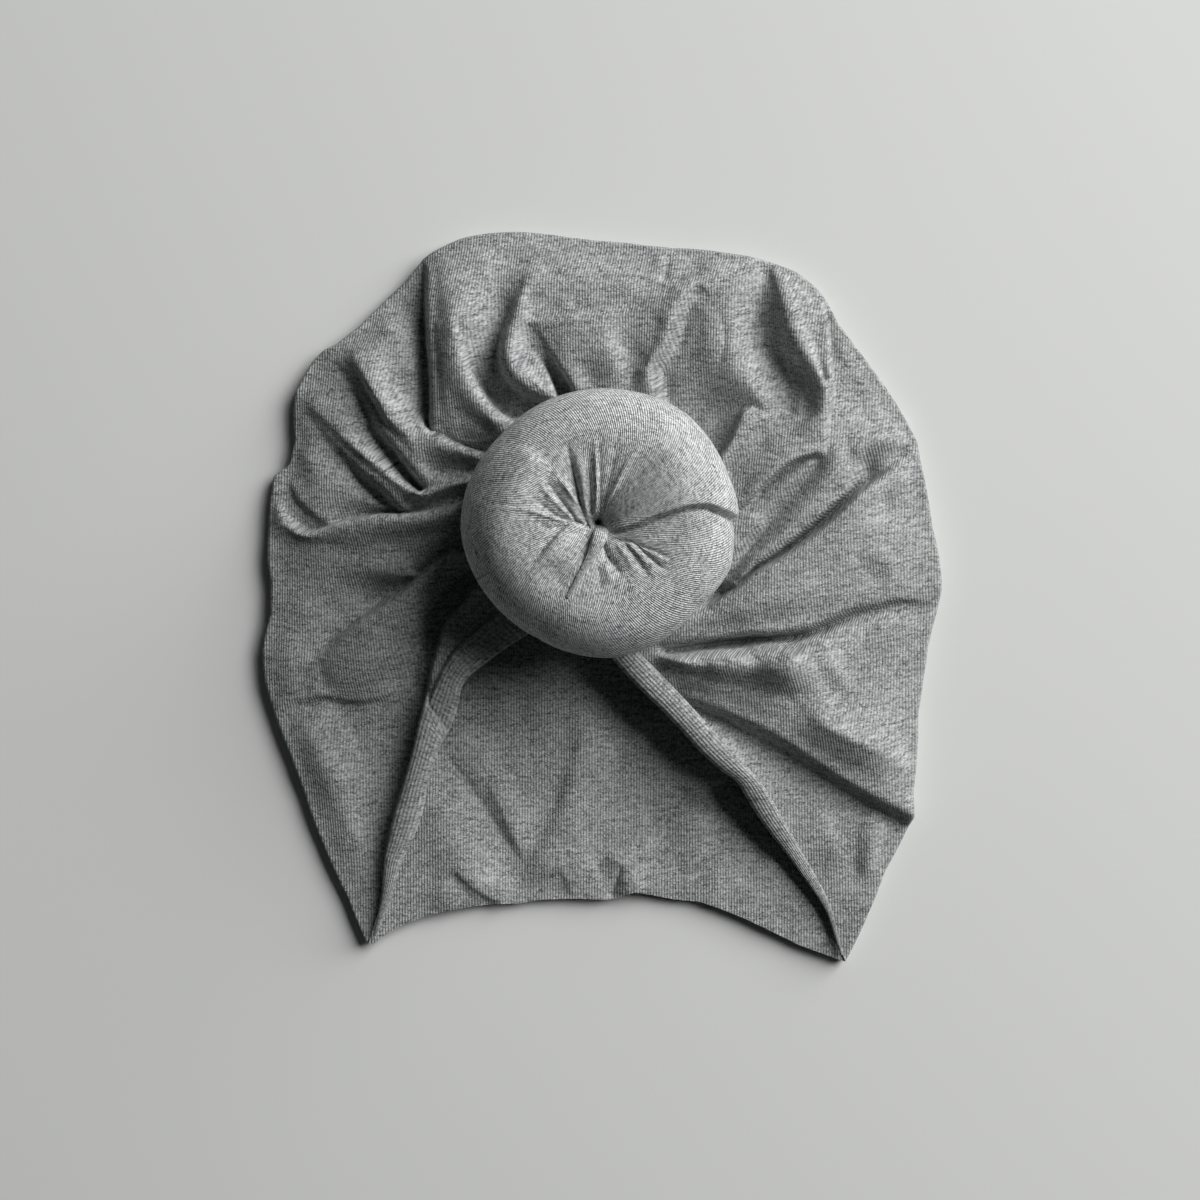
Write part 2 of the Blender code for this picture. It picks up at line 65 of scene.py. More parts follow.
# The light from the window, the room's own light and the surface
WINDOW_PLACE = (1.52, 1.08, 1.18)
WINDOW_SIZE = 1.75
WINDOW_WATTS = 79.0
ROOM_COLOR = (0.93, 0.96, 1.0, 1)
ROOM_STRENGTH = 0.02
FLOOR_HALF = 1.5
FLOOR_LEVEL = -0.2 * MM
FLOOR_COLOR = (0.74, 0.75, 0.735)
FLOOR_ROUGHNESS = 0.8

# Cloth: its thickness, and the width and height of a stitch
CLOTH = 1.0 * MM
WALE = 0.74 * MM
COURSE = 0.52 * MM

# How far the knit's columns lean for each mm that the cloth rises
KNIT_LEAN = 0.35

# Blender's wave texture of scale 1 repeats after this length
WAVE_REPEAT = math.pi / 10

# The two looks of the jersey: the tones of its dark and light yarn, how much painted shade darkens the
# grooves between the knit's columns, and the height of the knit in mm
Jersey = namedtuple("Jersey", "name dark light wales relief")
CAP_JERSEY = Jersey("marl_jersey", (0.08, 0.086, 0.089), (0.53, 0.541, 0.537), 0.07, 0.2)
# The bun's jersey, also on the twist: the cap's marl in lighter tones, painted light for the extra light that
# the high bun catches, with a deeper knit relief
BUN_JERSEY_PAINTED_LIGHTER = Jersey("bun_marl_jersey_painted_lighter", (0.11, 0.116, 0.12), (0.82, 0.832, 0.828), 0.2, 0.36)
SURFACE = {"Roughness": 0.95, "Specular IOR Level": 0.08, "Sheen Weight": 0.1, "Sheen Roughness": 0.5}
COLUMN_WAVE = {"Distortion": 0.7, "Detail": 1.0, "Detail Scale": 1.6}

# Noise patterns of the knit: their marks' width across the columns and length along them in mm, and how
# much they count in the tone. Other weights: of the grain, of a tone for each stitch and of one for each
# half of it.
Pattern = namedtuple("Pattern", "name across along weight")
PATTERNS = (
    Pattern("streaks", 5.2, 0.85, 0.33),
    Pattern("flecks", 1.3, 0.7, 0.22),
    Pattern("clouds", 16.0, 9.0, 0.14),
)
PATTERN_DETAIL = 2.0
GRAIN_SIZE = 0.5
GRAIN_DETAIL = 3.0
GRAIN_ROUGHNESS = 0.7
GRAIN = 0.26
STITCHES = 0.12
FIBRES = 0.2

# How far from the patterns' mean the tone is darkest and lightest
DARK_BELOW = 0.2
LIGHT_ABOVE = 0.16

# How much grain, columns and stitches count in the height of the knit
GRAIN_HEIGHT = 0.9
COLUMN_HEIGHT = 0.6
STITCH_HEIGHT = 0.25
BUMP_STRENGTH = 0.9

# The gather under the bun, and where the cap's front comes out from it
GATHER_RADIUS = 9.0 * MM
GATHER_LEVEL = 10.2 * MM
GATHER_ANGLES = (262.0, -97.0)
HIDDEN_ROWS = 8
FRONT_INNER = 30.0 * MM

# The grids of the front: rows from the bun to the outline, rows round the roll, and columns. The inner
# skin has one point for SPARSE of them. Columns are closer where the cloth turns, by TURN_WEIGHT for each
# radian.
FRONT_ROWS = 112
ROLL_ROWS = 8
COLUMNS = 644
SPARSE = 4
DENSE = 3600
TURN_WEIGHT = 1.2 * MM
COLUMN_SOFTEN = 90
OUTLINE_SOFTEN = 0.7
LINING_FLOOR = 1.6 * MM

# The relief of the front, solved as a sheet that bends evenly between its fold lines, in mm. Each step of
# the grid has its number of rounds.
FIELD_LOW = (-97.0, -122.0)
FIELD_HIGH = (99.0, 86.0)
FIELD_STEPS = ((2.0, 500), (1.0, 350), (0.5, 220), (0.25, 90))
FINEST = FIELD_STEPS[-1][0]
FIELD_START = 8.0
PATH_STEP = 0.12
STEEP_WALL = 1.0
WALL_SLACK = 0.25
ROLL_SHARE = 0.7
ROLL_SHAPE = ((1.0, 0.0), (0.75, 0.03), (0.5, 0.134), (0.25, 0.34), (0.0, 0.85))
CREASED = 0.02
TENSION_REACH = 7.0
LEAST_RISE = 2.8
ROLL_BULGE = 0.4

# The front's outline seen from above: direction from the bun's middle, distance in pixels, height of the
# roll in mm
OUTLINE = (
    (241.2, 476, 3.4), (236, 446, 3.4), (229, 418, 3.4), (222, 394, 3.6), (217, 382, 3.8), (210, 372, 3.8),
    (205, 366, 4), (200, 356, 4.2), (195, 338, 4.4), (190, 331, 4.4), (185, 331, 4.4), (180, 328, 4.4),
    (175, 328, 4.2), (171, 327, 4), (168.6, 314, 4), (164, 314, 4.4), (160, 323, 4), (156, 330, 4.8),
    (150, 329, 4), (147, 325, 4.6), (145, 318, 5), (140, 311, 4.4), (135, 310, 4), (129, 311, 3.6),
    (125.4, 315, 3.8), (123, 319, 4.6), (121, 320, 5.6), (115, 318, 5.6), (110, 312, 5.4), (105, 305, 4.8),
    (100, 297, 4.6), (95, 290, 4.6), (90, 286, 4.6), (85, 285, 4.6), (80, 285, 4.6), (75, 288, 4.6),
    (70, 295, 5), (65, 302, 5.4), (60, 311, 5.6), (56, 317, 4), (52, 323, 5.6), (47, 324, 5.6),
    (44, 321, 5), (40, 315, 4.6), (35, 315, 4.6), (30, 317, 4.8), (25, 321, 4.8), (20, 326, 4.8),
    (15, 331, 4.2), (11, 330, 5.6), (5, 332, 5.8), (0, 335, 5.8), (-5, 343, 5.6), (-10, 350, 5.4),
    (-13.5, 350, 4), (-17, 350, 5.2), (-20, 352, 5.4), (-25, 360, 5.4), (-30, 371, 5.4), (-35, 391, 5.4),
    (-40, 413, 6.4), (-42.4, 430, 8), (-44, 432, 4.2), (-50, 448, 4), (-55, 472, 3.8), (-60.2, 500, 3.4),
)

# Edges of folds that lie over what is beside them. side: the lower cloth lies at larger degrees (1) or at
# smaller ones (-1). roll: the radius in mm that the cloth rolls over. wall: how far the foot lies from
# the edge in mm. Each point has degrees and pixels from the bun's middle, and the heights in mm of edge
# and foot.
Edge = namedtuple("Edge", "name side roll wall points")
EDGES = (
    Edge("fan_edge", -1, 1, 0.6, ((203.5, 126, 12.5, 8), (205.7, 136, 13, 6.5), (209.5, 155, 13, 5),
        (213, 183, 12.5, 4.8), (217, 200, 12.2, 5), (220, 216, 11.8, 5), (223, 230, 11.2, 5),
        (225, 241, 10.6, 5), (228.5, 268, 9.2, 4.8), (231.5, 300, 7.6, 4.6), (234.5, 350, 6, 4.2),
        (237.5, 405, 4.6, 3.8))),
    Edge("low_pleat_under_edge", 1, 1.4, 0.6, ((218.5, 250, 6.4, 5.6), (219, 262, 7.2, 5.6),
        (218, 281, 7.6, 5.6), (215.3, 303, 7.6, 5.4), (212.2, 321, 7, 5.2), (210.6, 344, 5.8, 4.6),
        (210, 368, 4.4, 4))),
    Edge("low_pleat_edge", -1, 1.8, 1.2, ((188.6, 126, 12, 9), (190, 139, 13, 8.2), (191.2, 155, 14, 7.6),
        (193.5, 172, 14.4, 7.2), (196.7, 191, 14.6, 7), (198.8, 208, 14.4, 6.6), (199.9, 227, 14, 6.4),
        (201.2, 246, 13.4, 6.2), (202.5, 268, 12, 6), (204, 290, 10, 6.2), (205, 312, 7.4, 6.2))),
    Edge("side_pleat_edge", -1, 1.6, 0.6, ((168.5, 127, 13, 9.5), (170, 138, 14, 9.5),
        (172.2, 150, 15, 9.8), (174.2, 166, 15.6, 9.6), (175.5, 182, 15.8, 9), (176, 198, 15.8, 5.6),
        (176.7, 223, 15.2, 5.4), (178, 244, 14.2, 5.8), (179.3, 264, 12.6, 6.2), (180.6, 280, 10.8, 5),
        (181, 291, 9.4, 4.6), (179.6, 304, 7.6, 4.6), (176.6, 316, 5.8, 4.6))),
    Edge("temple_face_edge", 1, 0.8, 0.6, ((179.6, 268, 7.2, 6.4), (178.2, 280, 7.4, 5.6),
        (176.4, 291, 7.2, 5.2), (174.4, 303, 6.6, 4.8), (172.4, 309, 5.6, 4.4), (169.8, 308, 4.6, 4.2))),
    Edge("temple_roll_edge", 1, 2.2, 1.4, ((175.6, 195, 12, 6), (173, 206, 12.6, 6.2),
        (169.9, 220, 12.8, 6.6), (168.2, 234, 12.2, 7.2), (166, 250, 11, 7.6), (162.9, 273, 9, 7.2),
        (160.3, 295, 7.2, 6.4), (158.7, 311, 5.4, 5))),
    Edge("crown_side_edge", 1, 2.2, 1.4, ((167.4, 177, 11.8, 4.6), (164.6, 188, 12.8, 5),
        (161.6, 202, 13.2, 5.6), (158.8, 218, 13, 6.4), (156.2, 238, 12.2, 7), (153.2, 256, 11, 7.4),
        (150.6, 272, 9.6, 7.2), (148.6, 290, 8, 6.6), (147.6, 310, 5.8, 5.2))),
    Edge("crown_tuck_edge", -1, 1.4, 0.6, ((145.6, 126, 13, 9), (147, 137, 14, 7.6),
        (148.5, 151, 14.8, 7.6), (149.6, 168, 15, 9.4), (150.2, 186, 14.6, 11.6), (150, 198, 13.6, 7),
        (148, 208, 10, 6.6))),
    Edge("great_pleat_edge", 1, 2.4, 0.6, ((150, 190, 12.2, 11.8), (147, 200, 12.8, 6.6),
        (142.7, 211, 13.2, 5.8), (138, 226, 13.2, 5.6), (134.7, 241, 13, 5.4), (132, 256, 12.6, 5.2),
        (129.3, 271, 11.8, 4.8), (126.7, 288, 10.2, 4.4), (124.6, 303, 7.8, 3.8), (123.2, 316, 5.2, 3.4))),
    Edge("great_pleat_crest", -1, 1.8, 1.8, ((127.2, 127, 13, 8), (129, 138, 15, 5.6),
        (131, 150, 16.6, 5.2), (131.4, 165, 17.2, 5.2), (130.9, 181, 17.4, 5.6), (129.9, 198, 17.2, 7.4),
        (128.3, 215, 16.8, 10.6), (126, 232, 16.4, 13), (124.5, 250, 16, 14.4))),
    Edge("loop_crest", 1, 2.2, 1.6, ((109.5, 127, 12.5, 8), (112.5, 139, 13.8, 6.4), (117, 153, 15.2, 5.6),
        (119.7, 168, 16.2, 5.4), (120.5, 181, 16.6, 5.6), (119.2, 196, 16.2, 6), (116, 213, 15, 6.8),
        (112.3, 228, 13.8, 7.8), (109.6, 243, 12.4, 8.4), (106.4, 260, 10.4, 8.8))),
    Edge("loop_inner_edge", -1, 2, 0.6, ((107, 128, 12, 5), (107, 138, 13.4, 4.4), (107.4, 152, 13.8, 5.6),
        (108.2, 168, 13.2, 8), (109.6, 182, 12.2, 9.8), (111.4, 190, 11.4, 10.6))),
    Edge("crown_flap_edge", 1, 1.2, 0.6, ((98.6, 128, 11.6, 5), (99.6, 138, 12.4, 4.4),
        (101.2, 150, 12.8, 5.6), (103.5, 168, 12.8, 8.2), (105.2, 185, 12.4, 10.2),
        (106.6, 203, 12, 11.2))),
    Edge("brow_crest", -1, 1.4, 3.4, ((63, 128, 12, 9), (65.2, 141, 13.6, 7.6), (67.6, 151, 14.8, 7.6),
        (70, 161, 15.6, 7.8), (70.9, 172, 15.8, 8.2), (69.8, 183, 15.6, 8.8), (69.1, 197, 15.4, 9.4),
        (69.3, 215, 15.4, 9.6), (69.6, 231, 15, 10), (69, 247, 14, 11), (67.6, 262, 12.4, 11.4))),
    Edge("brow_band_edge", 1, 0.6, 0.6, ((77, 250, 9.8, 9.4), (73, 257, 10.4, 8.8), (70, 265, 10.8, 8.2),
        (67.5, 277, 10.2, 7.2), (65.4, 290, 8, 6), (64.2, 299, 5.6, 5))),
    Edge("peak_edge", 1, 0.7, 0.6, ((27, 127, 11, 8), (29.2, 140, 12.6, 8), (32.4, 157, 13.4, 8.6),
        (36, 174, 14, 9.2), (38.4, 187, 14, 10.2), (38, 194, 13.4, 11.4), (36, 199, 12.8, 11.6),
        (33.4, 205, 12, 11))),
    Edge("hook_inner_edge", 1, 2.4, 2.4, ((26, 212, 12.6, 11.8), (26.6, 230, 13.6, 11.2),
        (28.4, 246, 14.4, 10.6), (31, 257, 15, 10), (35, 262, 15.4, 9.6), (40, 264, 15.4, 9.2),
        (45, 270, 14.8, 8.6), (50, 285, 12.8, 7.6), (54, 301, 9.4, 6), (56, 312, 5.6, 4.4))),
    Edge("hook_edge", -1, 1.2, 0.6, ((17.7, 239, 12.8, 11.6), (20, 244, 13.4, 11.2), (23.3, 250, 14, 10.8),
        (27, 262, 14.2, 10), (30.3, 274, 14.2, 8.4), (36, 289, 13.4, 6.4), (39.6, 302, 11.6, 5.4),
        (43, 313, 9, 4.8), (46, 323, 5.6, 4.6))),
    Edge("hook_back_edge", -1, 1, 0.6, ((4, 133, 12, 10), (7.3, 145, 13.2, 9.4), (10.5, 157, 14, 9),
        (13.7, 169, 14.6, 8.8), (16.4, 184, 15, 8.6), (18, 198, 15, 8.8), (18.8, 216, 14.6, 9.4),
        (18.5, 230, 13.6, 10.4), (17.8, 238, 12.8, 11.4))),
    Edge("broad_pleat_edge", 1, 1.6, 0.6, ((-34.6, 137, 14.4, 8), (-25, 151, 15.6, 6), (-19, 159, 16, 4.6),
        (-14.5, 169, 16.4, 3.8), (-10, 185, 16.6, 3.2), (-5, 205, 16.6, 3), (0, 227, 16, 3),
        (3.4, 243, 15.6, 3), (7, 262, 15, 3.2), (8.6, 274, 14, 4), (10, 288, 12, 5.4), (12, 305, 8.8, 5.4),
        (13.2, 319, 6, 4.4))),
    Edge("broad_pleat_lip", -1, 2, 1.5, ((-60, 138, 13, 7), (-50, 150, 14.2, 5.4), (-45, 159, 14.6, 4.6),
        (-40, 171, 14.6, 4.2), (-35, 187, 14.4, 4), (-30, 212, 13.8, 4.2), (-25.4, 236, 13, 4.8),
        (-21.9, 250, 12.2, 5.4), (-18.3, 268, 11, 5.6), (-15.7, 290, 9.4, 5.4), (-13.9, 312, 7.4, 5),
        (-12.9, 332, 5.8, 4.6))),
    Edge("ear_pleat_edge", -1, 2.2, 2, ((-65, 188, 9.6, 9), (-62.9, 194, 11.2, 8.8), (-60.3, 203, 12.2, 8),
        (-57, 218, 13, 7.6), (-53.9, 238, 13.4, 7.6), (-51.2, 261, 13.2, 7.8), (-49, 288, 12.8, 7.6),
        (-47.5, 319, 12, 7), (-45.9, 357, 10.8, 6), (-44.3, 396, 9.6, 4.6), (-43.2, 424, 8.2, 4))),
)

# Soft crests and hollows, and creases. crease: 1 where the cloth is creased. Each point has degrees and
# pixels from the bun's middle and the height in mm.
Run = namedtuple("Run", "name crease points")
RUNS = (
    Run("left_hem_line", 0, ((229.5, 137, 11), (227.2, 180, 10.6), (227.5, 222, 10), (231, 262, 8.8),
        (234.3, 306, 7.4), (236.8, 350, 6.2), (238.4, 391, 5), (240.4, 440, 4), (241.2, 472, 3.4))),
    Run("fan_face", 0, ((216, 140, 12.6), (218.5, 165, 12.4), (221, 190, 12), (223.6, 213, 11.6))),
    Run("fan_fold", 0, ((224.4, 140, 11), (222.8, 162, 10.6), (222.6, 185, 10.6), (224, 208, 10.6))),
    Run("cheek_floor", 0, ((202, 140, 7.4), (205, 160, 6.6), (209, 180, 6), (213.5, 200, 5.4),
        (218, 222, 5.2), (221.5, 244, 5))),
    Run("low_pleat_back", 0, ((197, 150, 12.4), (202, 180, 12.6), (206.6, 210, 12.2), (209.5, 240, 11.6),
        (211, 270, 10.8), (210.5, 300, 9))),
    Run("low_pleat_foot", 1, ((204.6, 303, 8.2), (207, 311, 7), (210.6, 315, 6.8), (213.4, 316, 7.6))),
    Run("low_left_swell", 0, ((213, 346, 5.6), (219, 358, 6.4), (226, 372, 6.2), (232, 392, 5.2))),
    Run("low_left_crease", 0, ((216.6, 333, 5.6), (219.4, 337, 5.4), (222.6, 343, 5.4))),
    Run("low_left_floor", 0, ((222, 275, 4.8), (226, 305, 4.8), (230, 345, 4.6), (234, 392, 4.2))),
    Run("outline_swell", 0, ((203, 333, 6.2), (207, 335, 6.2), (210, 336, 5.8))),
    Run("side_ridge", 0, ((196, 185, 9), (193.5, 202, 10.2), (190.5, 222, 10.6), (187.6, 243, 10.2),
        (184.4, 271, 9.2), (182.8, 290, 8.2), (180.9, 312, 6))),
    Run("side_face", 0, ((182, 145, 12), (184, 175, 12), (184, 205, 12.2), (183.4, 235, 12.2))),
    Run("side_hollow", 0, ((187, 138, 8.6), (190, 160, 8.4), (193.6, 182, 7.8))),
    Run("side_low_face", 0, ((199, 250, 6), (198, 275, 5.8), (197, 300, 6.2))),
    Run("temple_gap", 0, ((166.4, 138, 9), (169.6, 150, 9.6), (172, 168, 9.8), (173.8, 186, 9.2))),
    Run("temple_floor", 0, ((174.4, 212, 7.4), (173, 235, 8.6), (171, 260, 9), (168.6, 280, 8.4),
        (166, 298, 6.8))),
    Run("temple_roll_crest", 0, ((160.3, 138, 13.4), (164, 151, 13.8), (167.2, 166, 14), (168.6, 183, 14.2),
        (168, 198, 14.2), (166.7, 211, 14), (164.5, 228, 13.4), (162.9, 245, 12.6), (160.8, 265, 11),
        (158.7, 284, 9.4), (157, 308, 7))),
    Run("temple_roll_floor", 0, ((160, 214, 6.4), (157.8, 232, 7.2), (155, 254, 7.8), (152.2, 276, 7.6))),
    Run("crown_side_face", 0, ((156, 140, 10.4), (159.4, 158, 10.4), (160.6, 176, 11.4), (157.6, 192, 13.4),
        (154.8, 208, 14.4))),
    Run("crown_side_crest", 0, ((153.4, 215, 14.6), (152.6, 235, 15), (150.2, 255, 14.4),
        (147.4, 275, 12.8), (145.2, 295, 10.2))),
    Run("crown_side_back", 0, ((145, 228, 9), (142, 248, 9), (139, 270, 8.8), (136.4, 290, 7.4))),
    Run("great_pleat_face", 0, ((139, 145, 12.6), (141, 165, 13.6), (141, 185, 14.2), (138.6, 200, 14.8),
        (134.6, 220, 14.8), (131, 240, 14.2), (128.6, 258, 13.2))),
    Run("great_pleat_dip", 0, ((144.6, 140, 9.6), (146.6, 155, 10.4), (147.6, 172, 12))),
    Run("great_pleat_low_crest", 0, ((124.5, 250, 15.6), (123.4, 268, 13.6), (122.2, 284, 11),
        (121.2, 300, 8.2))),
    Run("great_pleat_floor", 0, ((124.4, 150, 5.6), (126, 170, 5.8), (124.4, 190, 6.4), (121.4, 208, 7.6),
        (118.6, 226, 8.8), (116.4, 246, 9.8), (114.6, 268, 9.6), (113.6, 292, 7.8))),
    Run("loop_hollow", 0, ((112.6, 172, 13.2), (112.4, 186, 11.6), (110.6, 200, 11), (108.4, 208, 11.2))),
    Run("loop_top", 0, ((111, 145, 14.6), (114, 160, 15.6))),
    Run("crown_thin_ridge", 1, ((108.8, 216, 12.4), (104.6, 213, 12.8), (100.6, 211.5, 12.9),
        (95.6, 210, 12.9), (91, 210, 12.8), (85, 213.5, 12.6), (80, 219, 12.6), (76.3, 226, 13),
        (72.5, 238, 13.6))),
    Run("crown_thin_foot", 0, ((107, 222, 11.2), (100, 218, 11.4), (91, 216.5, 11.4), (84, 220, 11.2),
        (79, 227, 11.4))),
    Run("crown_flap_face", 0, ((101, 185, 13.2), (97, 165, 12.6), (93, 150, 11.6))),
    Run("crown_soft_ridge", 0, ((80.4, 145, 13), (83.4, 162, 13.8), (86.6, 178, 14), (89.6, 194, 13.6))),
    Run("crown_soft_hollow", 0, ((75.4, 145, 12.8), (78, 165, 12.4), (81, 182, 12), (82.6, 192, 12.2))),
    Run("crown_swell", 0, ((108, 240, 10.6), (98, 243, 10.8), (90, 243, 10.6), (82, 246, 10.4))),
    Run("crown_dip", 0, ((109, 283, 6.6), (104, 278, 7), (98, 272, 7.4))),
    Run("crown_small_crease", 1, ((75, 255, 8.2), (75.2, 270, 7), (74.6, 284, 5.4))),
    Run("brow_face", 0, ((73.4, 170, 14.4), (74, 195, 13.8), (74, 212, 13.4))),
    Run("brow_low_face", 0, ((65.4, 262, 12.2), (63.8, 276, 11.2), (62.4, 292, 9))),
    Run("brow_floor", 0, ((58, 145, 8), (61, 170, 9), (63.4, 195, 10), (64.6, 220, 10.6))),
    Run("peak_roll_crest", 0, ((36, 206, 12.6), (40, 208, 13.6), (45, 209, 13.8), (50, 213, 13.6),
        (53.6, 223, 13.2), (56.6, 236, 12.6), (59.4, 250, 12.4), (59.6, 275, 10.8), (58.6, 298, 7.6))),
    Run("brow_inner_floor", 0, ((35, 150, 7.6), (42, 155, 8), (50, 160, 8.4))),
    Run("hook_floor", 0, ((30.6, 226, 9.4), (34.6, 238, 8.2), (40, 243, 7.4), (46, 248, 7), (51, 262, 6.6),
        (54.4, 284, 6.2), (56.4, 306, 4.8))),
    Run("hook_face", 0, ((33, 270, 13.6), (38, 280, 13), (43, 293, 11), (48, 306, 8))),
    Run("hook_body", 0, ((14, 140, 11.6), (18, 155, 12), (21.6, 175, 12.6), (22.6, 200, 13.4),
        (22, 225, 13.6))),
    Run("peak_face", 0, ((25.6, 150, 11), (28.6, 170, 12.2), (30, 188, 12))),
    Run("hook_dip", 0, ((23, 145, 10), (25.6, 185, 11.2))),
    Run("pocket_face", 0, ((5, 162, 10.4), (10, 182, 10.8), (14, 202, 11.2), (16.4, 222, 11.4))),
    Run("first_tuck_crest", 0, ((-8, 143, 11), (-3, 149, 11.8), (2, 160, 12))),
    Run("first_tuck_hollow", 1, ((-19.5, 143, 9), (-11.3, 148, 8), (-5.5, 157, 7.4), (0, 169, 7.4),
        (4.7, 181, 7.6), (8.9, 196, 8), (12.7, 213, 8.6), (15.9, 228, 9.8), (17.6, 238, 11.2))),
    Run("second_tuck_crest", 0, ((-30, 143, 12.6), (-24.7, 148, 13.2), (-16.7, 156, 13.6),
        (-8.7, 171, 13.8), (-3.3, 186, 13.8), (2, 201, 13.6), (7.3, 222, 13.4), (12.7, 240, 13.2),
        (17, 252, 12.8))),
    Run("second_tuck_side", 0, ((-14, 161.5, 11.4), (-9, 176, 12), (-4, 190.5, 12.4), (1, 209, 12.4),
        (5.8, 234, 12.2), (8.8, 253, 11.4))),
    Run("second_tuck_end", 0, ((13, 262, 11.4), (18, 266, 11), (24, 272, 9.4))),
    Run("dark_triangle", 0, ((11.4, 276, 4), (12.6, 292, 6.4), (13.8, 308, 6))),
    Run("triangle_side", 1, ((16.6, 270, 12), (16.8, 288, 11), (16.4, 304, 9.2), (15.6, 319, 6))),
    Run("brim_face", 0, ((22, 296, 7), (29, 298, 6.4), (36, 304, 5.4))),
    Run("broad_pleat_swell", 0, ((-40, 143, 15.4), (-28, 168, 16.6), (-18, 200, 16.4), (-10, 240, 14.8),
        (-4, 280, 11.8), (0, 312, 8.2))),
    Run("broad_pleat_dip", 0, ((5, 290, 9.8), (4, 312, 7.4))),
    Run("ear_pleat_shoulder", 0, ((-62, 145, 12.6), (-55, 156, 13.2), (-50, 165, 13.8), (-45, 176, 14.2),
        (-40, 192, 14.2), (-35, 208, 13.8), (-30, 233, 12.8), (-25, 254, 11.2), (-21.6, 270, 9.8),
        (-18.6, 292, 8.4), (-16.6, 318, 6.8))),
    Run("ear_pleat_swell", 0, ((-66, 150, 12.4), (-58, 178, 14), (-50, 210, 14.6), (-44, 245, 14.8),
        (-39, 272, 14.4))),
    Run("ear_pleat_light", 0, ((-17.6, 338, 5.5), (-21.3, 330, 6), (-26.7, 313, 7.4), (-31, 306, 8.8),
        (-35, 306, 10.6))),
    Run("ear_pleat_turn", 0, ((-41.6, 298, 15.2), (-40.4, 325, 15), (-39, 356, 13.4), (-38.6, 384, 10))),
    Run("ear_pleat_outer", 0, ((-27, 352, 6.4), (-32, 366, 6.2), (-36, 385, 6.2))),
    Run("ear_pleat_dent", 0, ((-39.4, 265, 14.3), (-39.2, 273, 14.2))),
    Run("jaw_floor", 0, ((-58, 226, 8), (-54.8, 262, 7.6), (-52.4, 300, 6.8), (-51.4, 345, 5.8),
        (-51.2, 380, 5.2))),
    Run("jaw_swell", 0, ((-55.2, 330, 7), (-55, 380, 6), (-55.4, 430, 4.8))),
    Run("jaw_crease", 1, ((-46.4, 402, 5.2), (-48.6, 404, 6.8), (-51, 420, 6), (-51.8, 436, 5))),
    Run("right_hem_line", 0, ((-76, 137, 11), (-69.4, 175, 11.4), (-65, 205, 12), (-62.9, 228, 12),
        (-61.2, 260, 11.2), (-59.3, 300, 9.2), (-58.7, 350, 6.8), (-58.8, 400, 5), (-59.3, 450, 3.9),
        (-60.2, 496, 3.2))),
)

# Soft lumps of the cloth, even noise: how far they reach across and along the folds, their height and
# seed, in mm
Lump = namedtuple("Lump", "across along rise seed")
FRONT_LUMPS = (Lump(9.0, 20.0, 0.5, 3), Lump(4.2, 9.0, 0.17, 8))
BACK_LUMPS = (Lump(11.0, 16.0, 0.4, 5), Lump(4.5, 7.0, 0.14, 12))
LUMP_TURN = 42.0
LUMP_GRID = 64

# Folds drawn as lines. rise: how far the fold lifts or sinks the surface, in mm. left and right: how wide
# it is on either side of its line, in mm. Points are pixels of the picture; a line lies at the height
# LINE_RISE. Fades: over what shares of a line it begins and ends.
Line = namedtuple("Line", "name rise left right points")
LINE_REACH = 3.2
LINE_STEP = 0.24
VALLEY_SHARPNESS = 1.3
CREST_SHARPNESS = 2.0

